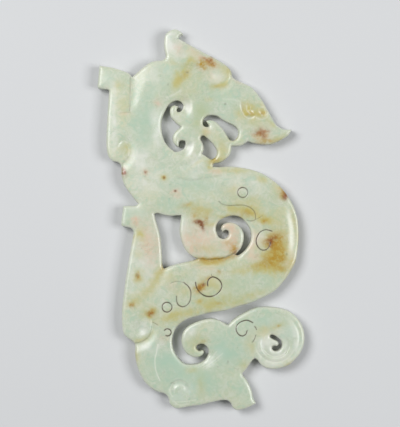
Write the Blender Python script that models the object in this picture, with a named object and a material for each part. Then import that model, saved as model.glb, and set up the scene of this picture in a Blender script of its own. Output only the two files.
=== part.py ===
"""A flat openwork carving in pale jade: a dragon with a beaked head, an S-shaped body and a rolled tail.

It is one slab of jade, sawn through and cut on its front, and it lies on its flat back. +X is the way the
beak points, +Y runs from the feet up to the horn, and +Z points up, out of the carved front. The drawing
below is in millimetres on a carving about 152 mm high, and the whole of it follows HEIGHT.
"""

import math
from collections import namedtuple

import bmesh
import bpy
import numpy as np
from mathutils import Vector, geometry

# Driving sizes, in metres
HEIGHT = 0.1526  # from the soles of the feet to the top of the horn
THICKNESS = 0.0060  # from the flat back to the crest of the front
FRONT_RIM_WIDTH = 0.0020  # how far in from its sawn side the front is rounded over
FRONT_RIM_DROP = 0.0011  # how far the rounding falls at the side
BACK_RIM_WIDTH = 0.0006  # the same on the back, which is only eased
BACK_RIM_DROP = 0.0005
SWELL_WIDTH = 0.0080  # how far in from the side the front keeps rising
SWELL_DROP = 0.00035  # how much it rises over that width
CUT_DEPTH = 0.0010  # the deepest slanting cut in the front; every cut is a share of it
STEEP_FACE = 0.00045  # width of the steep face of a slanting cut
FADE_SHARE = 0.3  # the share of a cut's length over which it runs out
SLOPE_CURVE = 1.3  # a cut's slope is a little hollow: 1 would be a flat slope

# Fineness of the solid, in metres
BOW = 0.00005  # how far a flat facet of the side may leave the true curve
LONGEST_FACET = 0.0034  # the longest flat facet of the side
ROW_STEP = 0.0016  # distance between points along a cut
FILL_STEP = 0.0034  # distance between points on the open surface
LEAST_GAP = 0.00042  # points nearer than this to another are left out

# The outer outline, in millimetres, clockwise from the root of the horn. Each run starts at a corner and
# bends smoothly until the next run's first point, which is a corner too.
OUTLINE = {
    "horn, up and over to its tip": [
        (-13.7, 141.4), (-14.2, 144.0), (-14.4, 147.2), (-13.9, 150.1), (-12.3, 151.7), (-10.0, 152.4),
        (-8.2, 151.8),
    ],
    "hook of the horn": [(-6.9, 150.6), (-8.1, 149.8)],
    "brow": [
        (-8.8, 148.8), (-6.2, 147.3), (0.7, 143.5), (9.0, 139.0), (10.8, 137.6), (12.2, 136.0),
        (12.8, 134.4),
    ],
    "ridge of the beak": [
        (13.1, 133.2), (16.5, 131.4), (21.0, 128.8), (24.9, 123.9), (27.9, 118.6), (30.4, 114.3),
        (32.0, 113.0), (33.8, 112.3),
    ],
    "underside of the beak": [
        (36.8, 112.2), (35.4, 109.9), (33.4, 108.6), (31.1, 107.4), (28.0, 106.3), (24.8, 106.3),
        (21.6, 106.8),
    ],
    "lip": [(19.2, 107.5), (18.2, 106.8), (16.8, 106.0), (15.0, 105.7)],
    "chin": [(12.7, 105.6), (12.5, 104.1), (12.1, 102.5), (10.9, 100.9), (9.1, 99.6), (7.5, 99.0)],
    "end of the gap under the chin": [(5.4, 98.6)],
    "back of the body, round to the belly and the foot of the limb": [
        (5.2, 97.3), (8.0, 97.2), (12.5, 97.4), (19.0, 96.5), (24.9, 94.6), (28.6, 92.3), (32.2, 89.3),
        (35.3, 85.4), (37.6, 81.2), (39.0, 76.7), (39.5, 71.9), (39.4, 66.9), (38.3, 59.4),
        (36.7, 56.1), (34.2, 52.2), (29.7, 47.4), (25.2, 44.9), (20.7, 42.9), (15.6, 41.4),
        (10.0, 39.7), (3.8, 38.8), (-0.4, 37.6), (-5.3, 36.1), (-8.6, 33.9), (-10.4, 31.0),
        (-11.1, 27.6), (-10.7, 24.2), (-9.4, 21.5), (-7.4, 19.1), (-5.5, 18.1), (-3.0, 18.0),
        (-0.2, 18.5), (1.9, 19.8), (3.3, 22.0), (3.5, 23.4), (2.9, 25.0), (1.4, 26.2), (-0.2, 26.2),
        (-1.4, 25.4), (-1.4, 24.4), (-0.2, 23.4), (1.0, 23.8),
    ],
    "hooked branch of the tail": [
        (1.6, 23.2), (1.2, 22.1), (0.0, 21.3), (-2.1, 21.0), (-4.4, 21.8), (-6.2, 23.6), (-7.2, 26.0),
        (-7.4, 28.6), (-6.6, 31.2), (-4.8, 33.3), (-2.0, 34.8), (1.6, 36.0), (4.9, 36.4), (7.5, 35.7),
        (9.8, 34.6),
    ],
    "rolled end of the tail": [
        (11.2, 33.8), (13.1, 35.7), (15.9, 37.7), (19.6, 39.6), (22.6, 40.8), (26.6, 41.1),
        ("turn", (30.0, 28.6), 12.2, 11.8, 87, -48),
        ("turn", (30.0, 28.6), 12.1, 12.4, -65, -106),
        (24.2, 18.3), (23.1, 19.8),
    ],
    "shank of the right foot": [(22.0, 20.5), (21.1, 19.8), (19.6, 17.7), (18.0, 15.5)],
    "right foot": [
        (17.0, 14.5), (17.3, 13.4), (18.2, 12.5), (19.9, 9.6), (20.9, 7.0), (21.3, 4.6), (21.9, 3.4),
    ],
    "sole of the right foot": [(22.5, 2.5), (19.8, 1.1), (16.8, 0.0), (14.6, -0.2), (13.2, 0.8)],
    "arch between the feet and left sole": [
        (12.4, 2.5), (11.1, 3.6), (8.4, 3.7), (5.2, 3.0), (0.1, 1.8), (-3.9, 1.3), (-6.7, 0.8),
        (-9.0, 0.4), (-10.7, 1.0), (-12.1, 2.4), (-12.6, 4.4),
    ],
    "left flank of the tail": [
        (-13.5, 5.9), (-14.9, 6.6), (-17.4, 7.3), (-20.2, 9.1), (-22.7, 11.9), (-24.4, 15.3),
        (-25.6, 19.2), (-26.1, 23.7),
    ],
    "lower lug, bulb and long side": [
        (-26.2, 26.4), (-27.4, 27.6), (-29.0, 28.7), (-30.4, 30.0), (-31.0, 32.4), (-31.3, 35.4),
        (-31.2, 40.4), (-30.8, 43.9), (-29.8, 52.3), (-28.8, 58.5), (-27.8, 64.1),
    ],
    "lower lug, under its flag": [(-26.7, 71.6), (-27.5, 72.6), (-29.1, 73.0)],
    "lower lug, end of its flag": [(-31.4, 73.6), (-31.5, 75.2), (-31.2, 78.0)],
    "lower lug, top of its flag": [(-30.7, 81.5), (-28.2, 81.7), (-25.9, 81.7)],
    "left flank of the neck, out to the bulb of the upper lug": [
        (-24.8, 82.5), (-26.8, 85.0), (-28.9, 87.7), (-30.5, 90.4), (-31.5, 94.2), (-31.6, 97.4),
        (-32.1, 98.5), (-33.1, 99.2), (-34.6, 99.5), (-36.0, 100.4), (-37.1, 102.8), (-37.5, 105.6),
        (-37.4, 112.4), (-37.0, 118.4), (-36.7, 123.5),
    ],
    "upper lug, under its flag": [(-36.4, 127.8), (-37.0, 128.3), (-38.7, 128.5)],
    "upper lug, end of its flag": [(-41.1, 129.0)],
    "upper lug, top of its flag": [(-40.3, 137.8), (-36.0, 137.2), (-31.6, 136.0), (-28.6, 134.8)],
    "nape": [
        (-27.2, 133.3), (-24.7, 135.4), (-22.4, 137.4), (-19.7, 139.2), (-17.4, 139.8), (-14.8, 140.1),
    ],
}

# What is sawn through inside the outline, drawn the same way
OPENINGS = {
    "upper slot of the mouth": [
        [
            (2.4, 115.7), (4.0, 116.0), (5.9, 115.5), (7.7, 114.0), (9.6, 111.9), (10.9, 109.6),
            (11.8, 108.2), (13.2, 107.7), (14.6, 108.7), (15.3, 110.3), (15.2, 111.9), (14.4, 113.3),
            (13.0, 114.2), (10.7, 115.2), (8.8, 116.3), (7.0, 117.6), (5.0, 118.0), (3.1, 117.8),
            (1.8, 116.8), (1.2, 115.2), (1.3, 114.0), (2.2, 113.3),
        ],
        [(3.5, 113.3), (3.5, 114.1), (2.9, 114.8)],
    ],
    "lower slot of the mouth": [
        [
            (0.2, 108.5), (0.6, 109.6), (1.5, 109.8), (3.1, 108.5), (4.7, 107.1), (5.9, 105.5),
            (6.7, 103.7), (6.7, 102.3),
        ],
        [(5.9, 100.9), (4.7, 100.2), (2.9, 101.2)],
        [(0.9, 102.5), (1.4, 103.9), (1.4, 105.7), (0.9, 107.1)],
    ],
    "crescent behind the cheek": [
        [
            (-9.5, 123.9), (-11.3, 123.2), (-12.7, 122.0), (-13.8, 120.0), (-15.0, 117.4),
            (-15.5, 115.2), (-15.5, 113.1), (-15.1, 110.3), (-14.1, 107.3), (-12.5, 105.3),
            (-10.4, 103.6), (-9.3, 103.3), (-7.6, 103.8), (-6.3, 104.8), (-5.8, 106.2), (-6.0, 107.6),
            (-7.2, 107.9), (-8.2, 107.6),
        ],
        [
            (-8.6, 105.3), (-9.5, 105.8), (-10.4, 106.6), (-11.0, 108.2), (-10.9, 109.6),
            (-10.0, 111.2), (-8.6, 112.5),
        ],
        [
            (-7.6, 113.4), (-8.8, 114.2), (-10.2, 115.6), (-11.6, 117.2), (-12.0, 118.8),
            (-12.0, 120.2), (-11.4, 121.4), (-10.2, 121.9),
        ],
        [
            (-8.7, 121.5), (-9.3, 120.2), (-9.0, 119.3), (-7.9, 119.4), (-6.8, 120.6), (-6.6, 122.0),
            (-7.2, 123.0), (-8.3, 123.7),
        ],
    ],
    "gap between body, lower lug and limb": [
        [(-18.3, 78.4), (-17.2, 78.7), (-14.4, 78.0), (-11.9, 77.6), (-9.3, 77.8)],
        [
            (-7.6, 77.8), (-7.9, 74.6), (-8.2, 71.4), (-7.8, 68.9), (-7.0, 66.4), (-5.9, 64.1),
            (-4.2, 62.2), (-2.6, 61.2),
        ],
        [(-1.2, 60.4), (-2.6, 59.8), (-5.9, 59.0), (-9.8, 58.2), (-12.1, 57.4)],
        [
            (-14.4, 56.4), (-14.9, 57.1), (-15.2, 61.3), (-15.6, 66.4), (-16.0, 69.7), (-16.9, 73.1),
            (-17.8, 76.2),
        ],
    ],
    "scroll inside the curl of the body": [
        [
            (14.2, 62.1), (15.1, 61.8), (16.8, 62.7), (18.7, 64.6), (20.2, 67.4), (20.5, 70.5),
            (19.8, 72.8), (18.4, 75.0), (16.2, 77.0), (13.7, 77.7), (11.2, 77.4), (8.9, 76.4),
            (7.2, 75.0), (6.4, 72.8), (6.7, 70.8), (7.6, 69.1), (9.2, 68.4), (10.6, 68.8), (11.5, 70.2),
            (11.3, 71.6), (10.2, 72.0),
        ],
        [
            (9.0, 71.1), (8.5, 72.8), (9.3, 74.2), (11.7, 75.0), (14.0, 74.6), (15.9, 73.3),
            (17.2, 71.4), (17.6, 69.1), (17.2, 66.6), (16.2, 64.4),
        ],
    ],
    "slot in the rolled tail": [
        [
            (28.1, 29.3), (28.4, 29.9), (29.4, 29.9), (31.2, 28.8), (32.6, 27.5), (32.9, 26.0),
            (32.4, 24.4), (31.2, 23.5), (29.7, 23.5), (28.9, 24.4), (29.0, 25.3), (30.0, 25.6),
            (30.9, 25.5), (31.5, 26.2), (31.2, 27.2), (30.0, 27.9), (28.4, 28.7),
        ],
    ],
}

# A cut in the front: the line of its bottom, the width of its slope to the left and to the right of that
# line (where the line starts and where it ends), its depth as a share of CUT_DEPTH, and whether it runs out
# gently at its start and at its end. STEEP is the steep side of a slanting cut.
Cut = namedtuple("Cut", "line left right depth runs_out")
STEEP = (0, 0)

CUTS = {
    "cleft between the upper lug and the neck": Cut(
        [(-27.2, 133.0), (-27.6, 126.0), (-27.9, 119.6)], (5.6, 1.6), STEEP, 0.9, (False, True)
    ),
    "curl at the foot of the upper lug": Cut(
        [
            (-32.8, 106.2), (-31.2, 107.4), (-29.2, 107.0), (-28.3, 104.8), (-28.4, 102.0),
            (-29.6, 100.0), (-31.5, 98.0),
        ],
        (3.0, 3.4), STEEP, 0.55, (True, False),
    ),
    "slope down to the crescent": Cut(
        [(-9.8, 124.0), (-12.8, 122.1), (-15.2, 117.4), (-15.7, 113.0), (-14.4, 107.3), (-10.6, 103.4)],
        STEEP, (3.4, 3.4), 0.6, (True, True),
    ),
    "hollow beside the upper hook": Cut(
        [(-8.9, 124.1), (-6.8, 122.9), (-6.4, 120.4), (-7.6, 119.0)], (3.4, 2.8), STEEP, 0.6, (True, True)
    ),
    "hollow beside the lower hook": Cut(
        [(-5.6, 107.8), (-5.6, 105.6), (-6.9, 104.0), (-9.0, 103.0)], (3.0, 3.0), STEEP, 0.6, (True, True)
    ),
    "lower edge of the brow": Cut(
        [
            (-13.4, 141.0), (-11.0, 139.0), (-7.1, 137.6), (-1.2, 137.3), (1.6, 134.4), (4.4, 130.7),
            (7.6, 128.6), (10.4, 130.2), (12.8, 133.2),
        ],
        STEEP, (2.6, 2.6), 0.4, (False, False),
    ),
    "jaw": Cut(
        [(-12.4, 99.0), (-6.1, 98.0), (-1.0, 100.2), (0.9, 102.1)], STEEP, (2.4, 2.4), 0.35, (True, False)
    ),
    "rear nostril scroll": Cut(
        [(16.6, 123.0), (20.5, 122.4), (22.4, 119.8), (21.0, 117.3), (18.2, 117.9), (17.1, 120.0)],
        (0.8, 0.8), (0.8, 0.8), 0.3, (True, True),
    ),
    "front nostril scroll": Cut(
        [
            (23.0, 119.8), (24.2, 120.7), (25.8, 120.5), (26.6, 118.9), (24.7, 116.8), (22.8, 116.8),
            (21.9, 117.5),
        ],
        (0.8, 0.8), (0.8, 0.8), 0.3, (True, True),
    ),
    "edge of the shoulder": Cut(
        [(-1.4, 60.3), (5.6, 59.8), (10.0, 60.6), (14.4, 62.2)],
        (0.7, 0.7), (2.8, 2.8), 0.7, (False, False),
    ),
    "fold between the lower lug and the limb": Cut(
        [(-14.6, 56.6), (-15.6, 53.6), (-18.0, 50.0), (-20.8, 44.0)],
        (1.8, 1.8), (1.8, 1.8), 0.45, (False, True),
    ),
    "bulb at the foot of the lower lug": Cut(
        [(-19.4, 37.0), (-19.2, 33.4), (-20.2, 29.8), (-23.2, 27.2), (-26.0, 26.5)],
        (3.0, 3.4), STEEP, 0.7, (True, False),
    ),
    "outer coil of the rolled tail": Cut(
        [("turn", (30.6, 26.4), 8.2, 6.4, 165, 385)], STEEP, (0.6, 0.6), 0.4, (True, True)
    ),
    "inner coil of the rolled tail": Cut(
        [("turn", (30.6, 26.4), 6.0, 4.4, 150, 410)], (1.8, 1.8), (0.5, 0.5), 0.5, (True, True)
    ),
    "slope beside the hooked branch": Cut(
        [(3.7, 24.4), (3.6, 21.8), (1.9, 19.6), (-0.6, 18.2)], (3.0, 2.4), STEEP, 0.5, (True, True)
    ),
    "boss on the left foot": Cut(
        [("turn", (-8.6, 7.8), 2.9, 3.1, 200, -110)], (0.5, 0.5), (1.2, 1.2), 0.4, (True, True)
    ),
}

# Colour of the jade: pale celadon, polished
JADE_COLOUR = (0.60, 0.68, 0.55, 1.0)
JADE_ROUGHNESS = 0.28


def turn(centre, first_radius, last_radius, first_angle, last_angle):
    """Points on a round or spiral stretch about a centre, one for about every 20 degrees."""
    count = max(2, round(abs(last_angle - first_angle) / 20)) + 1
    points = []
    for share in np.linspace(0, 1, count):
        angle = math.radians(first_angle + (last_angle - first_angle) * share)
        radius = first_radius + (last_radius - first_radius) * share
        points.append((centre[0] + radius * math.cos(angle), centre[1] + radius * math.sin(angle)))
    return points


def with_turns(run):
    """The run's points, with each turn worked out."""
    points = []
    for item in run:
        if item[0] == "turn":
            points.extend(turn(*item[1:]))
        else:
            points.append(item)
    return points


def smooth(knots, closed=False, steps=14):
    """A smooth line through the knots (a centripetal Catmull-Rom curve), as many short steps."""
    knots = [Vector(knot) for knot in knots]
    if closed:
        knots = [knots[-1], *knots, knots[0], knots[1]]
    else:
        knots = [knots[0] * 2 - knots[1], *knots, knots[-1] * 2 - knots[-2]]
    line = []
    for a, b, c, d in zip(knots, knots[1:], knots[2:], knots[3:]):
        t1 = (b - a).length ** 0.5
        t2 = t1 + (c - b).length ** 0.5
        t3 = t2 + (d - c).length ** 0.5
        for step in range(steps):
            t = t1 + (t2 - t1) * step / steps
            ab = a.lerp(b, t / t1)
            bc = b.lerp(c, (t - t1) / (t2 - t1))
            cd = c.lerp(d, (t - t2) / (t3 - t2))
            abc = ab.lerp(bc, t / t2)
            bcd = bc.lerp(cd, (t - t1) / (t3 - t1))
            line.append(abc.lerp(bcd, (t - t1) / (t2 - t1)))
    if not closed:
        line.append(knots[-2])
    return line


def thinned(line, bow):
    """The fewest of the line's points that keep it within bow of itself."""
    first, last = line[0], line[-1]
    along = last - first
    farthest, distance = 0, bow
    for index, point in enumerate(line[1:-1], start=1):
        if along.length > 1e-6:
            away = abs(along.cross(point - first)) / along.length
        else:
            away = (point - first).length
        if away > distance:
            farthest, distance = index, away
    if not farthest:
        return [first, last]
    return thinned(line[: farthest + 1], bow)[:-1] + thinned(line[farthest:], bow)


def split_long(line, longest):
    """The line with every stretch over the longest divided evenly."""
    points = [line[0]]
    for here, there in zip(line, line[1:]):
        count = math.ceil((there - here).length / longest)
        points += [here.lerp(there, k / count) for k in range(1, count + 1)]
    return points


def closed_loop(runs):
    """One closed loop from its runs, as points without a repeated end."""
    runs = [with_turns(run) for run in runs]
    loop = []
    for index, run in enumerate(runs):
        if len(runs) == 1:
            line = smooth(run, closed=True)
            line.append(line[0])
        else:
            line = smooth([*run, runs[(index + 1) % len(runs)][0]])
        loop.extend(split_long(thinned(line, BOW * 1000), LONGEST_FACET * 1000)[:-1])
    return np.array([point[:] for point in loop])


def area_of(loop):
    """Signed area of a closed loop, above zero if it runs counter-clockwise."""
    ahead = np.roll(loop, -1, axis=0)
    return 0.5 * np.sum(loop[:, 0] * ahead[:, 1] - ahead[:, 0] * loop[:, 1])


def nearest_on(points, starts, ends):
    """For each point: the nearest segment, the distance to it, and how far along it the nearest spot lies."""
    along = ends - starts
    length = np.einsum("ij,ij->i", along, along)
    away = points[:, None, :] - starts[None, :, :]
    share = np.clip(np.einsum("pij,ij->pi", away, along) / length, 0, 1)
    gap = np.linalg.norm(away - share[..., None] * along, axis=2)
    nearest = np.argmin(gap, axis=1)
    rows = np.arange(len(points))
    return nearest, gap[rows, nearest], share[rows, nearest]


def is_inside(points, starts, ends):
    """True for each point in the jade: a line to its right crosses the loops an odd number of times."""
    x, y = points[:, None, 0], points[:, None, 1]
    spans = (starts[:, 1] > y) != (ends[:, 1] > y)
    rise = ends[:, 1] - starts[:, 1]
    rise = np.where(rise == 0, 1.0, rise)
    crossing = starts[:, 0] + (y - starts[:, 1]) / rise * (ends[:, 0] - starts[:, 0])
    return np.sum(spans & (crossing > x), axis=1) % 2 == 1


def inward(loop):
    """The direction into the jade at each point of a loop that keeps the jade on its left."""
    before = loop - np.roll(loop, 1, axis=0)
    after = np.roll(loop, -1, axis=0) - loop
    before /= np.linalg.norm(before, axis=1)[:, None]
    after /= np.linalg.norm(after, axis=1)[:, None]
    along = before + after
    along /= np.maximum(np.linalg.norm(along, axis=1), 1e-6)[:, None]
    return np.stack([-along[:, 1], along[:, 0]], axis=1)


def evenly(line, step):
    """Points at even distances along a line, with both of its ends."""
    line = np.array([point[:] for point in line])
    length = np.concatenate([[0], np.cumsum(np.linalg.norm(np.diff(line, axis=0), axis=1))])
    at = np.linspace(0, length[-1], max(2, round(length[-1] / step)) + 1)
    return np.stack([np.interp(at, length, line[:, 0]), np.interp(at, length, line[:, 1])], axis=1)


class Drawing:
    """The carving seen from above, in metres: its loops, and how deep its front lies at any point."""

    def __init__(self):
        loops = [closed_loop(OUTLINE.values())]
        loops += [closed_loop(runs) for runs in OPENINGS.values()]
        low, high = loops[0].min(axis=0), loops[0].max(axis=0)
        self.scale = HEIGHT / (high[1] - low[1])
        self.origin = (low + high) / 2
        self.loops = []
        for index, loop in enumerate(loops):
            if (area_of(loop) > 0) != (index == 0):
                loop = loop[::-1]
            self.loops.append(self.placed(loop))
        self.starts = np.concatenate(self.loops)
        self.ends = np.concatenate([np.roll(loop, -1, axis=0) for loop in self.loops])
        self.cuts = [self.placed_cut(cut) for cut in CUTS.values()]

    def placed(self, points):
        return (np.asarray(points) - self.origin) * self.scale

    def placed_cut(self, cut):
        line = self.placed(evenly(smooth(with_turns(cut.line)), ROW_STEP * 1000))
        left = np.maximum(np.linspace(*cut.left, len(line)) * self.scale, STEEP_FACE)
        right = np.maximum(np.linspace(*cut.right, len(line)) * self.scale, STEEP_FACE)
        return Cut(line, left, right, cut.depth * CUT_DEPTH, cut.runs_out)

    def rim_gap(self, points):
        """Distance from each point to the nearest sawn side."""
        return nearest_on(points, self.starts, self.ends)[1]

    def cut_drop(self, points):
        """How far the cuts take the front down at each point; where two meet, the deeper one counts."""
        deepest = np.zeros(len(points))
        for line, left, right, depth, runs_out in self.cuts:
            starts, ends = line[:-1], line[1:]
            nearest, gap, share = nearest_on(points, starts, ends)
            along, away = (ends - starts)[nearest], points - starts[nearest]
            on_left = along[:, 0] * away[:, 1] - along[:, 1] * away[:, 0] > 0
            place = nearest + share
            marks = np.arange(len(line))
            width = np.where(on_left, np.interp(place, marks, left), np.interp(place, marks, right))
            progress = place / (len(line) - 1)
            fade = np.ones(len(points))
            if runs_out[0]:
                fade = np.minimum(fade, progress / FADE_SHARE)
            if runs_out[1]:
                fade = np.minimum(fade, (1 - progress) / FADE_SHARE)
            slope = np.clip(1 - gap / width, 0, 1)
            deepest = np.maximum(deepest, depth * fade * slope**SLOPE_CURVE)
        return deepest

    def front(self, points):
        """Height of the front above the flat back."""
        gap = self.rim_gap(points)
        rim = np.clip(1 - gap / FRONT_RIM_WIDTH, 0, 1)
        swell = np.clip(1 - gap / SWELL_WIDTH, 0, 1)
        rounding = FRONT_RIM_DROP * (1 - np.sqrt(1 - rim**2))
        return THICKNESS - rounding - SWELL_DROP * swell**2 - self.cut_drop(points)

    def back(self, points):
        """Height of the back: flat, with an eased edge."""
        gap = self.rim_gap(points)
        return BACK_RIM_DROP * np.clip(1 - gap / BACK_RIM_WIDTH, 0, 1)


class Spots:
    """Points for a face, none of them nearer to another than a gap."""

    def __init__(self, first, gap):
        self.gap = gap
        self.points = []
        self.cells = {}
        for point in first:
            self.keep(point)

    def cell(self, point):
        return math.floor(point[0] / self.gap), math.floor(point[1] / self.gap)

    def keep(self, point):
        self.cells.setdefault(self.cell(point), []).append(point)
        self.points.append(point)

    def offer(self, point, gap=None):
        gap = gap or self.gap
        reach = math.ceil(gap / self.gap)
        column, row = self.cell(point)
        for i in range(column - reach, column + reach + 1):
            for j in range(row - reach, row + reach + 1):
                for other in self.cells.get((i, j), ()):
                    if math.dist(point, other) < gap:
                        return
        self.keep(point)


def rows_beside_rim(drawing, widths):
    """Rows of points that follow every sawn side at the given widths."""
    rows = []
    for width in widths:
        for loop in drawing.loops:
            row = loop + inward(loop) * width
            rows.append(row[drawing.rim_gap(row) > width * 0.85])
    return np.concatenate(rows)


def rows_along_cuts(drawing):
    """Rows of points along each cut: its bottom, half way up its slopes, and their tops."""
    rows = []
    for line, left, right, _, _ in drawing.cuts:
        along = np.gradient(line, axis=0)
        along /= np.linalg.norm(along, axis=1)[:, None]
        side = np.stack([-along[:, 1], along[:, 0]], axis=1)
        rows.append(line)
        for width, sign in ((left, 1), (right, -1)):
            steep = width.max() < 3 * STEEP_FACE
            for share in (1.0,) if steep else (0.45, 1.0):
                rows.append(line + side * (sign * share * width)[:, None])
    points = np.concatenate(rows)
    clear = drawing.rim_gap(points) > LEAST_GAP
    return points[clear & is_inside(points, drawing.starts, drawing.ends)]


def fill(drawing, step):
    """A net of points over the open surface."""
    low, high = drawing.starts.min(axis=0), drawing.starts.max(axis=0)
    points = []
    row_step = step * math.sqrt(3) / 2
    for row in range(math.ceil((high[1] - low[1]) / row_step)):
        for column in range(math.ceil((high[0] - low[0]) / step) + 1):
            points.append((low[0] + (column + 0.5 * (row % 2)) * step, low[1] + row * row_step))
    points = np.array(points)
    points = points[is_inside(points, drawing.starts, drawing.ends)]
    return points[drawing.rim_gap(points) > step / 3]


def face_net(drawing, spots):
    """Triangles over the jade through all the spots. The loops' own points come first, in their order."""
    rim = set()
    first = 0
    for loop in drawing.loops:
        count = len(loop)
        rim.update((first + i, first + (i + 1) % count) for i in range(count))
        first += count
    flat = [Vector(spot) * 1000 for spot in spots]
    points, _, faces, sources, _, _ = geometry.delaunay_2d_cdt(flat, list(rim), [], 0, 1e-5)
    if len(points) != len(flat):
        raise ValueError("the outline crosses itself")
    faces = [[sources[corner][0] for corner in face] for face in faces]
    return np.array(faces_reached(faces, rim, first_inside(faces, spots, drawing)))


def first_inside(faces, spots, drawing):
    """The largest face whose middle is in the jade."""
    corners = np.array([[spots[corner] for corner in face] for face in faces])
    one, other = corners[:, 1] - corners[:, 0], corners[:, 2] - corners[:, 0]
    area = np.abs(one[:, 0] * other[:, 1] - one[:, 1] * other[:, 0])
    area[~is_inside(corners.mean(axis=1), drawing.starts, drawing.ends)] = 0
    return int(np.argmax(area))


def faces_reached(faces, rim, start):
    """The faces that are reached from one of them without crossing a sawn side."""
    beside = {}
    for index, face in enumerate(faces):
        for a, b in zip(face, [*face[1:], face[0]]):
            if (a, b) not in rim and (b, a) not in rim:
                beside.setdefault((min(a, b), max(a, b)), []).append(index)
    reached, todo = {start}, [start]
    while todo:
        face = faces[todo.pop()]
        for a, b in zip(face, [*face[1:], face[0]]):
            for other in beside.get((min(a, b), max(a, b)), ()):
                if other not in reached:
                    reached.add(other)
                    todo.append(other)
    return [faces[index] for index in sorted(reached)]


def jade_material():
    material = bpy.data.materials.new("pale_celadon_jade")
    material.use_nodes = True
    shader = material.node_tree.nodes["Principled BSDF"]
    shader.inputs["Base Color"].default_value = JADE_COLOUR
    shader.inputs["Roughness"].default_value = JADE_ROUGHNESS
    shader.inputs["Metallic"].default_value = 0.0
    return material


def make_carving():
    drawing = Drawing()
    rim = drawing.starts

    front = Spots(rim, LEAST_GAP)
    for point in rows_beside_rim(drawing, (0.22 * FRONT_RIM_WIDTH, 0.6 * FRONT_RIM_WIDTH)):
        front.offer(point)
    for point in rows_along_cuts(drawing):
        front.offer(point)
    for point in fill(drawing, FILL_STEP):
        front.offer(point, FILL_STEP / 2)

    back = Spots(rim, LEAST_GAP)
    for point in rows_beside_rim(drawing, (BACK_RIM_WIDTH,)):
        back.offer(point)

    front_faces = face_net(drawing, front.points)
    back_faces = face_net(drawing, back.points)
    front_points = np.array(front.points)
    back_points = np.array(back.points)
    front_heights = drawing.front(front_points)
    back_heights = drawing.back(back_points)
    back_heights[len(rim):] = 0.0

    mesh = bmesh.new()
    front_corners = [mesh.verts.new((x, y, z)) for (x, y), z in zip(front_points, front_heights)]
    back_corners = [mesh.verts.new((x, y, z)) for (x, y), z in zip(back_points, back_heights)]
    for face in front_faces:
        mesh.faces.new([front_corners[corner] for corner in face])
    for face in back_faces:
        mesh.faces.new([back_corners[corner] for corner in face])
    first = 0
    for loop in drawing.loops:
        for i in range(len(loop)):
            here, there = first + i, first + (i + 1) % len(loop)
            side = [back_corners[here], back_corners[there], front_corners[there], front_corners[here]]
            mesh.faces.new(side)
        first += len(loop)
    bmesh.ops.recalc_face_normals(mesh, faces=mesh.faces)

    data = bpy.data.meshes.new("jade_carving")
    mesh.to_mesh(data)
    mesh.free()
    data.materials.append(jade_material())
    data.shade_smooth()
    data.set_sharp_from_angle(angle=math.radians(40))
    carving = bpy.data.objects.new("jade_carving", data)
    bpy.context.scene.collection.objects.link(carving)
    return carving


for leftover in list(bpy.data.objects):
    bpy.data.objects.remove(leftover, do_unlink=True)

make_carving()
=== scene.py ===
# %% [markdown]
# # A dragon cut from one slab of jade
#
# The object is a flat openwork carving: one slab of pale green jade, sawn through along every outline, with
# its front cut in low slopes and fine hair lines and then polished. This lesson starts from the plain solid,
# reads its sawn outline, lays a fine skin over it, carves the slopes and lines into that skin, and ends with
# the stone itself: milky, a little translucent, and stained gold and rust where iron has crept in.

# %% Open the plain solid
import math

import bmesh
import bpy
import numpy as np
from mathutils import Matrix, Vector, geometry, kdtree, noise


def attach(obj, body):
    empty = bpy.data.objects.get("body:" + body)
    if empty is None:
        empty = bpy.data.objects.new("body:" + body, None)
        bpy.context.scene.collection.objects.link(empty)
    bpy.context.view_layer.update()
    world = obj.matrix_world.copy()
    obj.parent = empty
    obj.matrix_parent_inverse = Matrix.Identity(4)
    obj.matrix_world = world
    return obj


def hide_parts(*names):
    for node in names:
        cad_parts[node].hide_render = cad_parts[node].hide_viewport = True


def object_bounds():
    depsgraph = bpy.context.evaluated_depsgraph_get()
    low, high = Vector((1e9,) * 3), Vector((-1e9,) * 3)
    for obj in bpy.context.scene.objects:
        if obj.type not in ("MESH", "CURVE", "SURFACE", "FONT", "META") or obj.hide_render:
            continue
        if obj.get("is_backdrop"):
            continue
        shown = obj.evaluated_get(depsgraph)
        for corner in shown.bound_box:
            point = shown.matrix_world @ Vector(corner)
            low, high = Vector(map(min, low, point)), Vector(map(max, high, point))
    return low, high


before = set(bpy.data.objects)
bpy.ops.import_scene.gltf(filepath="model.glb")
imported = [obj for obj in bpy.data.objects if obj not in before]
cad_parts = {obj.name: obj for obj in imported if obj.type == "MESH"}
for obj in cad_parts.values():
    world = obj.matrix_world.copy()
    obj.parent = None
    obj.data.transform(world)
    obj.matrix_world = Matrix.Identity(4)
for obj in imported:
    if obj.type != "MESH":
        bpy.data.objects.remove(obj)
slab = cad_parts["jade_carving"]
slab_low, slab_high = (np.array(corner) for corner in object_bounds())
THICKNESS = slab_high[2]
print("the slab measures, in mm:", np.round((slab_high - slab_low) * 1000, 1))

# %% [markdown]
# ## Where things are
#
# A carver works from a drawing. This one is in millimetres, with its height counted up from the soles of
# the feet and its width counted from a line a little left of the middle. The solid has its middle at the
# origin, so each place of the drawing is moved by half of the drawing's own size.

# %% From the drawing to the slab
MM = 0.001
DRAWING_MIDDLE = (0.4, 76.1)


def placed(points):
    """Places on the drawing, in mm, as places on the slab, in metres."""
    return (np.asarray(points, dtype=float) - DRAWING_MIDDLE) * MM


print("the middle of the shoulder lies at", placed([(5.0, 68.0)])[0])

# %% [markdown]
# ## The sawn outline
#
# Every upright wall of the solid was left by the saw, and the foot of those walls is the outline: one outer
# loop and six openings. The wall faces are found by their level normals, and their lowest edges are walked
# from point to point until each loop closes. Reading the outline from the solid, and not drawing it again,
# keeps the skin and the solid together.

# %% Walk the foot of the walls
LEVEL = 0.02
SAME_PLACE = 1e-6
LEAST_AREA = 1e-10
FOOT_MARGIN = 1e-5


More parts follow.
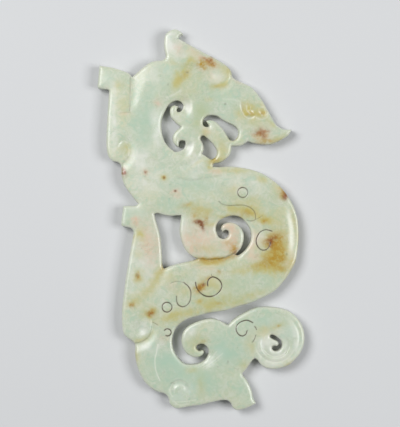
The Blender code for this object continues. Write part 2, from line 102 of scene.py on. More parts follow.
def wall_foot_neighbours(node):
    """For each point at the foot of a wall, its place and the points beside it."""
    mesh = bmesh.new()
    mesh.from_mesh(node.data)
    bmesh.ops.remove_doubles(mesh, verts=mesh.verts, dist=SAME_PLACE)
    mesh.normal_update()
    walls = [face for face in mesh.faces if abs(face.normal.z) < LEVEL and face.calc_area() > LEAST_AREA]
    foot = min(corner.co.z for face in walls for corner in face.verts) + FOOT_MARGIN
    beside, places = {}, {}
    for face in walls:
        for edge in face.edges:
            one, other = edge.verts
            if one.co.z < foot and other.co.z < foot:
                beside.setdefault(one.index, set()).add(other.index)
                beside.setdefault(other.index, set()).add(one.index)
                places[one.index] = one.co.xy[:]
                places[other.index] = other.co.xy[:]
    mesh.free()
    return beside, places


def walked_loops(beside, places):
    """The loops, each as its places in order, the outer one first."""
    left, loops = set(beside), []
    while left:
        here = min(left)
        loop = []
        while here is not None:
            left.discard(here)
            loop.append(places[here])
            here = next((point for point in sorted(beside[here]) if point in left), None)
        loops.append(np.array(loop))
    return sorted(loops, key=lambda loop: -np.ptp(loop[:, 1]))


facet_loops = walked_loops(*wall_foot_neighbours(slab))
print("loops:", len(facet_loops), "with corners:", [len(loop) for loop in facet_loops])

# %% [markdown]
# ## From flat facets to a smooth saw line
#
# The solid keeps few points, so its curves are made of short flats. A polished edge must not show them. A
# smooth curve through the same points, a centripetal Catmull-Rom curve, bends between them and never swings
# wide. Where the outline turns sharply, at a flag's corner or the point of a hook, the curve is broken and
# started again, so a corner stays a corner.

# %% Smooth each loop between its corners
RIM_STEP = 0.42 * MM
CORNER_TURN = math.radians(48)


def smooth(knots, steps=8, closed=False):
    """A smooth line through the knots, as many short steps."""
    knots = [Vector(knot) for knot in knots]
    if closed:
        knots = [knots[-1], *knots, knots[0], knots[1]]
    else:
        knots = [knots[0] * 2 - knots[1], *knots, knots[-1] * 2 - knots[-2]]
    line = []
    for a, b, c, d in zip(knots, knots[1:], knots[2:], knots[3:]):
        t1 = (b - a).length ** 0.5
        t2 = t1 + (c - b).length ** 0.5
        t3 = t2 + (d - c).length ** 0.5
        for step in range(steps):
            t = t1 + (t2 - t1) * step / steps
            ab = a.lerp(b, t / t1)
            bc = b.lerp(c, (t - t1) / (t2 - t1))
            cd = c.lerp(d, (t - t2) / (t3 - t2))
            abc = ab.lerp(bc, t / t2)
            bcd = bc.lerp(cd, (t - t1) / (t3 - t1))
            line.append(abc.lerp(bcd, (t - t1) / (t2 - t1)))
    if not closed:
        line.append(knots[-2])
    return np.array([point[:] for point in line])


def evenly(line, step):
    """Points at even distances along a line, with both of its ends."""
    length = np.concatenate([[0], np.cumsum(np.linalg.norm(np.diff(line, axis=0), axis=1))])
    at = np.linspace(0, length[-1], max(1, round(length[-1] / step)) + 1)
    return np.stack([np.interp(at, length, line[:, 0]), np.interp(at, length, line[:, 1])], axis=1)


def area_of(loop):
    """Signed area of a closed loop, above zero if it runs counter-clockwise."""
    ahead = np.roll(loop, -1, axis=0)
    return 0.5 * np.sum(loop[:, 0] * ahead[:, 1] - ahead[:, 0] * loop[:, 1])


def corners_of(loop):
    """Where the loop turns too sharply to be part of a curve."""
    before, after = loop - np.roll(loop, 1, axis=0), np.roll(loop, -1, axis=0) - loop
    cross = before[:, 0] * after[:, 1] - before[:, 1] * after[:, 0]
    turn = np.arctan2(cross, np.einsum("ij,ij->i", before, after))
    return np.flatnonzero(np.abs(turn) > CORNER_TURN)


def smoothed_loop(loop, jade_inside):
    """The loop in even steps, smooth between its corners, with the jade on its left."""
    if (area_of(loop) > 0) != jade_inside:
        loop = loop[::-1]
    corners = corners_of(loop)
    if len(corners) == 0:
        line = smooth(loop, closed=True)
        return evenly(np.vstack([line, line[:1]]), RIM_STEP)[:-1]
    loop = np.roll(loop, -corners[0], axis=0)
    stops = [*(corners - corners[0]), len(loop)]
    loop = np.vstack([loop, loop[:1]])
    pieces = [evenly(smooth(loop[a : b + 1]), RIM_STEP)[:-1] for a, b in zip(stops, stops[1:])]
    return np.concatenate(pieces)


rim_loops = []
for number, facets in enumerate(facet_loops):
    rim_loop = smoothed_loop(facets, number == 0)
    rim_loops.append(np.clip(rim_loop, slab_low[:2], slab_high[:2]))
rim = np.concatenate(rim_loops)
print("points along the saw line:", len(rim))

# %% [markdown]
# ## How far in from the edge?
#
# Nearly everything a polisher does depends on the distance to the nearest edge: the rim is rounded over,
# and the middle swells a little. A kd-tree is an index of points that finds the nearest one fast. Filled
# with close samples of the saw line, it answers this for tens of thousands of spots, and the direction
# into the jade at the nearest sample tells which side of the saw line a spot is on.

# %% An index of the saw line
SAMPLE_STEP = 0.05 * MM


def inward(loop):
    """The direction into the jade at each point of a loop that keeps the jade on its left."""
    before, after = loop - np.roll(loop, 1, axis=0), np.roll(loop, -1, axis=0) - loop
    before = before / np.linalg.norm(before, axis=1)[:, None]
    after = after / np.linalg.norm(after, axis=1)[:, None]
    along = before + after
    along /= np.maximum(np.linalg.norm(along, axis=1), 1e-6)[:, None]
    return np.stack([-along[:, 1], along[:, 0]], axis=1)


samples, sample_inward = [], []
for rim_loop in rim_loops:
    dense = evenly(np.vstack([rim_loop, rim_loop[:1]]), SAMPLE_STEP)[:-1]
    samples.append(dense)
    sample_inward.append(inward(dense))
samples, sample_inward = np.concatenate(samples), np.concatenate(sample_inward)

saw_index = kdtree.KDTree(len(samples))
for number, (x, y) in enumerate(samples):
    saw_index.insert((x, y, 0), number)
saw_index.balance()


def rim_gap(points):
    """Distance from each spot to the saw line, below zero outside the jade."""
    gaps = np.empty(len(points))
    for i, (x, y) in enumerate(points):
        _, nearest, gap = saw_index.find((x, y, 0))
        away = (x - samples[nearest, 0]) * sample_inward[nearest, 0]
        away += (y - samples[nearest, 1]) * sample_inward[nearest, 1]
        gaps[i] = gap if away > 0 else -gap
    return gaps


print("samples of the saw line:", len(samples))

# %% [markdown]
# ## The slanting cuts
#
# The relief is all done with one kind of cut: the tool goes in steeply on one side of a line and slopes away
# gently on the other, so one form seems to slide under the next. The cleft beside the upper lug, the lower
# edge of the brow, the curls at the feet of the lugs and the coils of the rolled tail are such cuts. Each is
# a line with two widths, one for each side, and a depth. The solid has most of them in the same places; the
# finest, round the nostrils and along the flank and the tail's rim, are in the skin alone.

# %% A list of slanting cuts
CUT_DEPTH = 1.0 * MM
STEEP_FACE = 0.42 * MM
CUT_STEP = 0.40 * MM
STEEP = (0, 0)
TURN_STEP = 15


def turn(centre, first_radius, last_radius, first_angle, last_angle):
    """Places on a round or spiral stretch about a centre, one for about every 15 degrees."""
    shares = np.linspace(0, 1, max(2, round(abs(last_angle - first_angle) / TURN_STEP)) + 1)
    angles = np.radians(first_angle + (last_angle - first_angle) * shares)
    radii = first_radius + (last_radius - first_radius) * shares
    return [(centre[0] + r * math.cos(a), centre[1] + r * math.sin(a)) for r, a in zip(radii, angles)]


# Each cut: its line, width to the left and to the right (at its start, at its end), depth as a share, and
# whether it fades in at its start and out at its end.
slanting_cuts = {
    "cleft between upper lug and neck": (
        [(-27.2, 133.0), (-27.6, 126.0), (-27.9, 119.6)], (7.4, 2.6), STEEP, 0.36, (False, True),
    ),
    "curl at the foot of the upper lug": (
        [(-32.8, 106.2), (-31.2, 107.4), (-29.2, 107.0), (-28.3, 104.8), (-28.4, 102.0), (-29.6, 100.0),
         (-31.5, 98.0)], (3.6, 4.0), STEEP, 0.30, (True, False),
    ),
    "slope down to the crescent": (
        [(-9.8, 124.0), (-12.8, 122.1), (-15.2, 117.4), (-15.7, 113.0), (-14.4, 107.3), (-10.6, 103.4)],
        (0.8, 0.8), (4.6, 4.6), 0.52, (True, True),
    ),
    "hollow beside the upper hook": (
        [(-8.9, 124.1), (-6.8, 122.9), (-6.4, 120.4), (-7.6, 119.0)], (3.8, 3.4), STEEP, 0.85, (True, True),
    ),
    "hollow beside the lower hook": (
        [(-5.6, 107.8), (-5.6, 105.6), (-6.9, 104.0), (-9.0, 103.0)], (3.8, 3.2), STEEP, 0.85, (True, True),
    ),
    "lower edge of the brow": (
        [(-13.4, 141.0), (-11.0, 139.0), (-7.1, 137.6), (-1.2, 137.3), (1.6, 134.4), (4.4, 130.7),
         (7.6, 128.6), (10.4, 130.2), (12.8, 133.2)], (1.1, 1.1), (3.0, 3.0), 0.24, (True, False),
    ),
    "jaw": (
        [(-12.4, 99.0), (-6.1, 98.0), (-1.0, 100.2), (0.9, 102.1)],
        (1.2, 1.2), (3.0, 3.0), 0.24, (True, False),
    ),
    "rear nostril scroll": (
        [(16.4, 122.8), (16.9, 119.6), (18.2, 117.3), (20.6, 116.8), (22.0, 118.2)],
        (1.6, 1.6), (0.7, 0.7), 0.42, (True, True),
    ),
    "front nostril scroll": (
        [(22.4, 117.4), (24.2, 116.5), (26.4, 117.4), (27.0, 119.2), (26.0, 120.8)],
        (1.5, 1.3), (0.7, 0.7), 0.42, (True, True),
    ),
    "edge of the shoulder": (
        [(-1.4, 60.3), (5.6, 59.8), (10.0, 60.6), (14.4, 62.2)], (1.4, 1.2), (3.2, 3.2), 0.42, (True, False),
    ),
    "fold between lower lug and limb": (
        [(-14.6, 56.6), (-15.6, 53.6), (-18.0, 50.0), (-20.8, 44.0)],
        (3.2, 3.8), (3.6, 4.0), 0.18, (False, True),
    ),
    "bulb at the foot of the lower lug": (
        [(-19.4, 37.0), (-19.2, 33.4), (-20.2, 29.8), (-23.2, 27.2), (-26.0, 26.5)],
        (3.4, 4.4), STEEP, 0.52, (True, False),
    ),
    "outer coil of the rolled tail": (
        turn((30.6, 26.4), 8.2, 6.4, 165, 385), (1.2, 1.2), (0.7, 0.7), 0.26, (True, True),
    ),
    "inner coil of the rolled tail": (
        turn((30.6, 26.4), 6.0, 4.4, 150, 410), (1.8, 1.8), (0.5, 0.5), 0.5, (True, True),
    ),
    "slope beside the hooked branch": (
        [(3.7, 24.4), (3.6, 21.8), (1.9, 19.6), (-0.6, 18.2)], (4.8, 4.2), (0.8, 0.8), 0.32, (True, True),
    ),
    "rim line of the rolled tail": (
        turn((30.0, 28.6), 10.0, 9.8, 75, -110), (1.0, 1.0), (0.9, 0.9), 0.22, (True, True),
    ),
    "flank of the body": (
        [(34.9, 84.6), (37.9, 74.0), (38.0, 65.0), (36.4, 58.4)], (1.8, 1.8), (3.2, 3.2), 0.37, (True, True),
    ),
    "boss on the left foot": (
        turn((-8.4, 7.8), 3.2, 3.4, 235, -70), (1.4, 1.4), (2.2, 2.2), 0.4, (True, True),
    ),
}
# Each round hollow: its place, its radius and its depth as a share of CUT_DEPTH.
round_hollows = {
    "bulb of the lower lug": ((-24.4, 32.4), 4.0, 0.48),
    "lobe of the brow": ((4.4, 134.0), 3.4, 0.24),
    "rear nostril": ((20.2, 119.6), 1.5, 0.30),
    "front nostril": ((24.8, 119.0), 1.4, 0.30),
}


def carved_cut(line, left, right, depth, fades):
    """A cut ready for the slab: its line in even steps, its widths along it, its depth and its fades."""
    line = evenly(placed(smooth(line)), CUT_STEP)
    left = np.maximum(np.linspace(*left, len(line)) * MM, STEEP_FACE)
    right = np.maximum(np.linspace(*right, len(line)) * MM, STEEP_FACE)
    return line, left, right, depth * CUT_DEPTH, fades


cuts = [carved_cut(*cut) for cut in slanting_cuts.values()]
hollows = [(placed(place), radius * MM, depth * CUT_DEPTH) for place, radius, depth in round_hollows.values()]
cut_length = sum(len(cut[0]) for cut in cuts) * CUT_STEP / MM
print("slanting cuts:", len(cuts), "over a length in mm of", round(cut_length))

# %% [markdown]
# ## The hair lines
#
# Over the slopes run lines as fine as a hair, scratched with a hard point: whole rings left by a tube drill,
# open rings, comma spirals, and creases at the jaw and on the tail. They are about half a millimetre wide.
# Dirt has settled in most of them, so the dark line one sees is mostly dirt and only a little shadow. A few,
# round the nostrils, on the cheek and temple, on the upper lug, the tail, the coil, the boss and the left
# sole, are painted paler than the stone: painted highlights where a ridge or rim would catch the lamp.
# Each is a line with a width, a depth and the amount of dirt in it, below zero where the line is a painted
# highlight instead.

# %% A list of hair lines
RING = 360
hair_lines = {
    "ring on the shoulder": (turn((17.1, 87.0), 2.0, 2.0, 80, 80 + RING), 0.44, 0.12, 1.10),
    "ring on the limb": (turn((-13.2, 41.1), 1.95, 1.95, 0, RING), 0.43, 0.12, 1.10),
    "half ring at the foot of the limb": (turn((-13.0, 31.0), 1.45, 1.40, 138, -118), 0.44, 0.12, 1.15),
    "open ring by the stain": (
        [(28.6, 71.6), (26.2, 72.1), (24.0, 71.0), (22.8, 69.0), (22.5, 67.0), (23.4, 65.0), (24.8, 64.0),
         (26.6, 64.2), (27.8, 65.6), (28.1, 67.0)], 0.44, 0.12, 1.15),
    "trailing line over the scroll": (
        [(7.6, 83.4), (8.8, 82.4), (11.2, 81.8), (14.4, 81.9), (17.2, 81.9), (20.0, 81.0), (21.8, 79.2),
         (22.2, 77.2), (22.0, 76.0), (20.6, 75.6), (18.8, 75.8)], 0.42, 0.10, 0.50),
    "tick over the scroll": ([(22.4, 76.2), (23.6, 76.8), (24.8, 77.6)], 0.24, 0.06, 0.45),
    "comma spiral on the limb": (
        [(-1.8, 50.9), (-1.4, 49.0), (0.0, 47.0), (1.9, 45.7), (4.2, 45.4), (6.4, 46.1), (8.1, 47.8),
         (8.7, 49.5), (8.1, 51.5), (6.7, 52.7), (5.0, 53.2), (3.6, 52.3), (3.0, 50.9), (3.1, 49.8)],
        0.43, 0.13, 1.30),
    "tick over the comma": ([(4.6, 54.1), (4.7, 53.7), (4.9, 53.3)], 0.24, 0.06, 0.7),
    "hook spiral on the limb": (
        [(-6.5, 51.0), (-4.6, 49.3), (-3.7, 47.4), (-3.7, 45.4), (-4.2, 43.2), (-5.4, 41.8), (-7.0, 41.3),
         (-8.6, 42.0), (-9.3, 43.4), (-9.4, 45.4)], 0.46, 0.12, 0.90),
    "faint start of the hook spiral": ([(-11.6, 50.7), (-9.3, 51.4), (-6.6, 51.0)], 0.34, 0.08, 0.40),
    "tick by the bulb": ([(-18.8, 35.0), (-17.9, 34.6), (-17.0, 34.0)], 0.26, 0.07, 0.5),
    "comma spiral on the tail": (
        [(21.0, 35.0), (19.8, 35.6), (18.6, 35.9), (16.2, 35.1), (14.7, 33.6), (14.5, 31.8), (15.6, 30.1),
         (17.1, 29.6), (18.4, 30.4), (18.8, 31.6)], 0.42, 0.12, 1.10),
    "ticks on the tail, upper": ([(21.9, 33.4), (22.3, 32.8), (22.6, 32.1)], 0.36, 0.08, 0.9),
    "ticks on the tail, lower": ([(22.3, 29.9), (21.8, 28.4), (21.1, 27.2)], 0.36, 0.08, 0.9),
    "dirt line at the edge of the shoulder": (
        [(-1.6, 60.7), (2.0, 60.3), (6.0, 60.3), (10.0, 61.0), (13.4, 62.6)], 0.5, 0.04, 0.34),
    "crease under the jaw": (
        [(-8.9, 93.2), (-6.2, 92.3), (-2.9, 92.0), (2.8, 92.9), (8.6, 93.8)], 0.8, 0.08, 0.10),
    "crease of the cheek": ([(-13.2, 125.1), (-10.8, 126.0), (-8.0, 127.8)], 0.8, 0.06, -0.45),
    "crease of the temple": ([(9.3, 124.4), (13.2, 124.2), (16.0, 123.5)], 0.8, 0.05, -0.30),
    "step across the upper lug": ([(-32.0, 118.7), (-30.0, 118.8), (-27.9, 118.9)], 0.4, 0.06, 0.1),
    "ridge line on the tail": (
        [(-16.8, 26.4), (-17.4, 23.2), (-18.0, 20.4), (-17.7, 16.2), (-16.7, 13.3), (-16.0, 11.9)],
        0.44, 0.08, -0.80),
    "rim of the rear nostril": (
        [(16.2, 123.0), (16.6, 120.0), (17.9, 117.5), (20.0, 116.7), (21.8, 117.4)], 0.6, 0.04, -0.50),
    "rim of the front nostril": (
        [(22.4, 117.0), (24.2, 116.2), (26.5, 117.0), (27.2, 119.0), (26.2, 121.0), (24.4, 121.2)],
        0.6, 0.04, -0.50),
    "fold of the rear nostril": ([(18.6, 121.8), (18.8, 119.8), (20.0, 118.6)], 0.6, 0.07, -0.50),
    "second fold of the rear nostril": ([(20.2, 121.4), (20.4, 120.0), (21.4, 119.0)], 0.5, 0.05, -0.40),
    "fold of the front nostril": ([(23.6, 120.4), (23.8, 119.0), (24.8, 118.0)], 0.5, 0.05, -0.40),
    "first streak on the tail": ([(0.6, 17.6), (3.0, 19.4), (5.2, 21.6), (6.6, 23.4)], 0.42, 0.025, -0.45),
    "second streak on the tail": ([(1.2, 16.9), (4.2, 18.8), (7.0, 21.0), (9.0, 22.6)], 0.42, 0.025, -0.45),
    "third streak on the tail": ([(0.4, 18.4), (2.4, 20.2), (4.2, 22.6)], 0.42, 0.025, -0.35),
    "fourth streak on the tail": ([(2.6, 16.8), (5.4, 18.6), (8.2, 20.6)], 0.40, 0.020, -0.30),
    "fifth streak on the tail": ([(-0.8, 17.0), (1.4, 18.0), (3.2, 19.6)], 0.42, 0.025, -0.45),
    "arc over the foot of the upper lug": (
        [(-32.8, 105.6), (-32.0, 106.8), (-30.4, 107.6), (-29.2, 107.0)], 0.50, 0.06, -0.60),
    "outer arc round the boss": (turn((-8.2, 7.8), 3.7, 3.9, 220, 50), 0.46, 0.04, -0.50),
    "inner arc on the boss": (turn((-8.0, 7.6), 2.4, 2.4, 200, 20), 0.42, 0.03, -0.40),
    "ring round the coil": (turn((30.6, 26.4), 7.3, 7.3, 175, 340), 0.5, 0.04, -0.40),
    "ring inside the coil": (turn((30.4, 26.4), 5.2, 5.0, 140, 330), 0.5, 0.04, -0.40),
    "line down the cleft": ([(-27.9, 133.4), (-28.0, 126.0), (-28.2, 119.6)], 0.44, 0.05, 0.30),
    "hook on the left foot": ([(-11.8, 10.7), (-11.0, 10.9), (-10.3, 10.4)], 0.3, 0.08, 0.3),
    "upper line of the left sole": ([(-9.5, 3.3), (-6.5, 3.5), (-4.2, 3.8), (-1.6, 4.2)], 0.5, 0.12, -0.40),
    "lower line of the left sole": ([(-10.3, 3.6), (-8.8, 2.3), (-6.6, 2.2), (-4.2, 2.6)], 0.5, 0.11, -0.40),
}
HAIR_STEP = 0.20 * MM


def scratched_line(line, width, depth, dirt):
    """A hair line ready for the slab."""
    return evenly(placed(smooth(line)), HAIR_STEP), width * MM, depth * MM, dirt


hairs = [scratched_line(*hair) for hair in hair_lines.values()]
hair_length = sum(len(hair[0]) for hair in hairs) * HAIR_STEP / MM
print("hair lines:", len(hairs), "over a length in mm of", round(hair_length))

# %% [markdown]
# ## The height of the front at any spot
#
# One function now gives the height of the front anywhere: the thickness of the slab, less the rounding of
# the rim (a quarter of an ellipse), less the fall of the swell towards the edges, less the deepest cut
# there, less the hair lines. A hand-polished face is never quite flat, so very low, wide waves of noise
# are taken off too. They are too low to see, but they bend the reflections.

# %% Rim, swell, cuts and waves
RIM_WIDTH, RIM_DROP = 1.3 * MM, 0.8 * MM
SWELL_WIDTH, SWELL_DROP = 8.0 * MM, 0.35 * MM
FADE_SHARE = 0.3
HAIR_REACH = 1.5
WAVE_LENGTH, WAVE_DROP, WAVE_SEED = 11.0 * MM, 0.05 * MM, 3.7


def along_and_aside(points, line):
    """For each spot: how far along the line it lies, how far from it, and whether it is on its left."""
    starts, ends = line[:-1], line[1:]
    along = ends - starts
    length = np.maximum(np.einsum("ij,ij->i", along, along), 1e-18)
    away = points[:, None, :] - starts[None, :, :]
    share = np.clip(np.einsum("pij,ij->pi", away, along) / length, 0, 1)
    gap = np.linalg.norm(away - share[..., None] * along, axis=2)
    nearest = np.argmin(gap, axis=1)
    rows = np.arange(len(points))
    side = points - starts[nearest]
    on_left = along[nearest, 0] * side[:, 1] - along[nearest, 1] * side[:, 0] > 0
    return nearest + share[rows, nearest], gap[rows, nearest], on_left


def near(points, line, reach):
    """The numbers of the spots whose box distance to the line is within reach."""
    low, high = line.min(axis=0) - reach, line.max(axis=0) + reach
    return np.flatnonzero(np.all((points > low) & (points < high), axis=1))


def cut_drop(points):
    """How far the slanting cuts take the front down; where two meet, the deeper one counts."""
    deepest = np.zeros(len(points))
    for line, left, right, depth, fades in cuts:
        some = near(points, line, max(left.max(), right.max()))
        if len(some) == 0:
            continue
        place, gap, on_left = along_and_aside(points[some], line)
        marks = np.arange(len(line))
        width = np.where(on_left, np.interp(place, marks, left), np.interp(place, marks, right))
        progress = place / (len(line) - 1)
        fade = np.ones(len(some))
        if fades[0]:
            fade = np.minimum(fade, progress / FADE_SHARE)
        if fades[1]:
            fade = np.minimum(fade, (1 - progress) / FADE_SHARE)
        slope = 0.5 + 0.5 * np.cos(math.pi * np.clip(gap / width, 0, 1))
        deepest[some] = np.maximum(deepest[some], depth * fade * slope)
    for place, radius, depth in hollows:
        share = np.clip(np.linalg.norm(points - place, axis=1) / radius, 0, 1)
        deepest = np.maximum(deepest, depth * (0.5 + 0.5 * np.cos(math.pi * share)))
    return deepest


def hair_drop(points):
    """How far the hair lines go in at each spot, how much dirt lies there, and how much painted highlight
    lies there.
    """
    drop, dirt, painted_glint = np.zeros((3, len(points)))
    for line, width, depth, dirt_and_glint_share in hairs:
        some = near(points, line, HAIR_REACH * width)
        if len(some) == 0:
            continue
        _, gap, _ = along_and_aside(points[some], line)
        groove = np.exp(-((gap / (0.5 * width)) ** 2))
        drop[some] = np.maximum(drop[some], depth * groove)
        dirt[some] = np.maximum(dirt[some], dirt_and_glint_share * groove)
        painted_glint[some] = np.maximum(painted_glint[some], -dirt_and_glint_share * groove)
    return drop, dirt, painted_glint


def waves(points, length, seed):
    """Soft noise from 0 to 1 over the slab."""
    values = [noise.noise((x / length, y / length, seed)) for x, y in points]
    return np.clip(0.5 + 0.5 * np.array(values), 0, 1)


def front_height(points, gap):
    """The height of the front at each spot, which lies a gap away from the saw line."""
    rounding = RIM_DROP * (1 - np.sqrt(1 - np.clip(1 - gap / RIM_WIDTH, 0, 1) ** 2))
    swell = SWELL_DROP * np.clip(1 - gap / SWELL_WIDTH, 0, 1) ** 2
    settled = np.clip(gap / RIM_WIDTH, 0, 1)
    waviness = WAVE_DROP * settled * waves(points, WAVE_LENGTH, WAVE_SEED)
    return THICKNESS - rounding - swell - waviness - cut_drop(points) - hair_drop(points)[0]


trial = placed([(20.0, 86.0), (-27.4, 126.0)])
trial_heights = front_height(trial, rim_gap(trial)) / MM
print("height at the shoulder and in the cleft, in mm:", np.round(trial_heights, 2))

# %% [markdown]
# ## Choosing the points of the skin
#
# A skin looks smooth when its points are close where it bends and further apart where it is calm. So rows of
# points follow the saw line, close together at the rim; rows follow every cut and every hair line; and an
# even net fills the rest. A point too near to an earlier one is left out, because slivers of triangles
# would catch the light.

# %% Rows beside the rim, along the lines, and a net
NET_STEP = 0.42 * MM
RIM_ROWS = (0.07, 0.19, 0.36, 0.58, 0.86, 1.20, 1.60)
ROW_KEPT = 0.9
HAIR_ROWS = (0.0, -0.5, 0.5, -1.0, 1.0)
CUT_ROWS = (0.5, 1.0)
LINE_INSET = 0.12 * MM
FRONT_CELL = 0.32 * MM
LINE_GAP = 0.10 * MM
ROW_GAP_SHARE, WIDEST_ROW_GAP = 0.62, 0.26 * MM
NET_GAP = 0.28 * MM


class Spots:
    """Points of the skin, none nearer to another than the gap it was offered with."""

    def __init__(self, first, cell):
        self.cell, self.points, self.cells = cell, [], {}
        for x, y in first:
            self.keep(x, y)

    def keep(self, x, y):
        self.cells.setdefault((math.floor(x / self.cell), math.floor(y / self.cell)), []).append((x, y))
        self.points.append((x, y))

    def offer(self, points, gap):
        for x, y in points:
            column, row = math.floor(x / self.cell), math.floor(y / self.cell)
            crowd = (
                other
                for i in (column - 1, column, column + 1)
                for j in (row - 1, row, row + 1)
                for other in self.cells.get((i, j), ())
            )
            if all((x - u) ** 2 + (y - v) ** 2 > gap * gap for u, v in crowd):
                self.keep(x, y)


def rim_row(width):
    """A row of points that follows the saw line at one distance."""
    row = np.concatenate([loop + inward(loop) * width for loop in rim_loops])
    return row[rim_gap(row) > ROW_KEPT * width]


def beside(line, offsets):
    """Rows of points to the left of a line, at offsets that may change along it."""
    along = np.gradient(line, axis=0)
    along /= np.linalg.norm(along, axis=1)[:, None]
    left = np.stack([-along[:, 1], along[:, 0]], axis=1)
    return line + left * np.reshape(offsets, (-1, 1))


def line_rows():
    """Rows along every hair line and every cut, from the bottom out to both sides."""
    rows = []
    for line, width, _, _ in hairs:
        rows += [beside(line, np.full(len(line), share * width)) for share in HAIR_ROWS]
    for line, left, right, _, _ in cuts:
        rows.append(line)
        rows += [beside(line, left * share) for share in CUT_ROWS]
        rows += [beside(line, -right * share) for share in CUT_ROWS]
    row = np.concatenate(rows)
    return row[rim_gap(row) > LINE_INSET]


def net(step, least_gap):
    """An even net of points, each least_gap inside the saw line."""
    columns = np.arange(slab_low[0], slab_high[0], step)
    rows = np.arange(slab_low[1], slab_high[1], step * math.sqrt(3) / 2)
    x, y = np.meshgrid(columns, rows)
    x = x + (np.arange(len(rows)) % 2)[:, None] * step / 2
    points = np.stack([x.ravel(), y.ravel()], axis=1)
    return points[rim_gap(points) > least_gap]


front = Spots(rim, FRONT_CELL)
front.offer(line_rows(), LINE_GAP)
last_width = 0.0
for width in np.array(RIM_ROWS) * MM:
    front.offer(rim_row(width), min(ROW_GAP_SHARE * (width - last_width), WIDEST_ROW_GAP))
    last_width = width
front.offer(net(NET_STEP, RIM_ROWS[-1] * MM), NET_GAP)
print("points of the front:", len(front.points))

# %% [markdown]
# ## From points to a skin
#
# A constrained Delaunay triangulation joins the points into well-shaped triangles and keeps every edge of
# the saw line. It covers the openings as well, so only the triangles that can be reached from inside the
# jade without crossing the saw line are kept.

# %% Triangles over the jade
SAME_SPOT = 1e-6


def skin_over(points):
    """Triangles through the points, over the jade alone. The rim's points come first, in order."""
    edges, first = set(), 0
    for loop in rim_loops:
        count = len(loop)
        edges.update((first + i, first + (i + 1) % count) for i in range(count))
        first += count
    flat = [Vector(point) / MM for point in points]
    made, _, faces, sources, _, _ = geometry.delaunay_2d_cdt(flat, list(edges), [], 0, SAME_SPOT)
    if len(made) != len(flat):
        raise ValueError("the saw line crosses itself")
    faces = np.array([[sources[corner][0] for corner in face] for face in faces])
    places = np.asarray(points)
    deepest = int(np.argmax(rim_gap(places[faces].mean(axis=1))))
    return faces[reached(faces, edges, deepest)]


def reached(faces, edges, start):
    """The numbers of the faces that are reached from one without crossing the saw line."""
    meeting = {}
    for number, (a, b, c) in enumerate(faces.tolist()):
        for one, other in ((a, b), (b, c), (c, a)):
            if (one, other) not in edges and (other, one) not in edges:
                meeting.setdefault((min(one, other), max(one, other)), []).append(number)
    beside_faces = [[] for _ in faces]
    for pair in meeting.values():
        if len(pair) == 2:
            beside_faces[pair[0]].append(pair[1])
            beside_faces[pair[1]].append(pair[0])
    seen, todo = {start}, [start]
    while todo:
        for other in beside_faces[todo.pop()]:
            if other not in seen:
                seen.add(other)
                todo.append(other)
    return sorted(seen)


front_faces = skin_over(front.points)
print("triangles of the front:", len(front_faces))

# %% [markdown]
# ## The back and the sawn sides
#
# The back is a plain polished plane with its edge eased, so it needs far fewer points. The sides stand
# upright. They get a few rings of faces, drawn in by a hair's breadth half way up, as a string saw and
# polishing leave them. Front, sides and back share the points of the rim, so the skin is closed.

# %% Back, sides and the closed skin
BACK_EASE, BACK_DROP = 0.6 * MM, 0.5 * MM
BACK_ROWS = (0.12, 0.32, 0.60)
BACK_CELL = 1.1 * MM
BACK_ROW_GAP = 0.11 * MM
BACK_NET_STEP, BACK_NET_INSET, BACK_NET_GAP = 1.3 * MM, 0.9 * MM, 0.8 * MM
SIDE_RINGS = 4
SIDE_HOLLOW = 0.03 * MM

back = Spots(rim, BACK_CELL)
for width in np.array(BACK_ROWS) * MM:
    back.offer(rim_row(width), BACK_ROW_GAP)
back.offer(net(BACK_NET_STEP, BACK_NET_INSET), BACK_NET_GAP)
back_faces = skin_over(back.points)


def back_height(gap):
    """The height of the back, which is flat but for its eased edge."""
    return BACK_DROP * (1 - np.sqrt(1 - np.clip(1 - gap / BACK_EASE, 0, 1) ** 2))


def with_height(points, height):
    """Places on the drawing with a height added."""
    return np.column_stack([points, height])


front_spots, back_spots = np.array(front.points), np.array(back.points)
front_gap, back_gap = rim_gap(front_spots), rim_gap(back_spots)
front_gap[: len(rim)] = 0.0
back_gap[: len(rim)] = 0.0
front_points = with_height(front_spots, front_height(front_spots, front_gap))
back_points = with_height(back_spots, back_height(back_gap))
rim_inward = np.concatenate([inward(loop) for loop in rim_loops])

corners, faces = [front_points, back_points], [front_faces, back_faces[:, ::-1] + len(front_points)]
rings = [np.arange(len(rim)) + len(front_points)]
count = len(front_points) + len(back_points)
for ring in range(1, SIDE_RINGS):
    share = ring / SIDE_RINGS
    height = back_points[: len(rim), 2] * (1 - share) + front_points[: len(rim), 2] * share
    hollow = SIDE_HOLLOW * math.sin(math.pi * share)
    corners.append(with_height(rim + rim_inward * hollow, height))
    rings.append(np.arange(len(rim)) + count)
    count += len(rim)
rings.append(np.arange(len(rim)))

first = 0
for loop in rim_loops:
    here = first + np.arange(len(loop))
    there = first + (np.arange(len(loop)) + 1) % len(loop)
    first += len(loop)
    for lower, upper in zip(rings, rings[1:]):
        faces.append(np.column_stack([lower[here], lower[there], upper[there]]))
        faces.append(np.column_stack([lower[here], upper[there], upper[here]]))
corners, faces = np.concatenate(corners), np.concatenate(faces)

skin = bpy.data.meshes.new("jade_dragon")
skin.from_pydata(corners.tolist(), [], faces.tolist())
checked = bmesh.new()
checked.from_mesh(skin)
bmesh.ops.recalc_face_normals(checked, faces=checked.faces)
open_edges = sum(1 for edge in checked.edges if not edge.is_manifold)
checked.to_mesh(skin)
checked.free()
skin.shade_smooth()
dragon = bpy.data.objects.new("jade_dragon", skin)
bpy.context.scene.collection.objects.link(dragon)
print("triangles in the whole skin:", len(faces), "open edges:", open_edges)
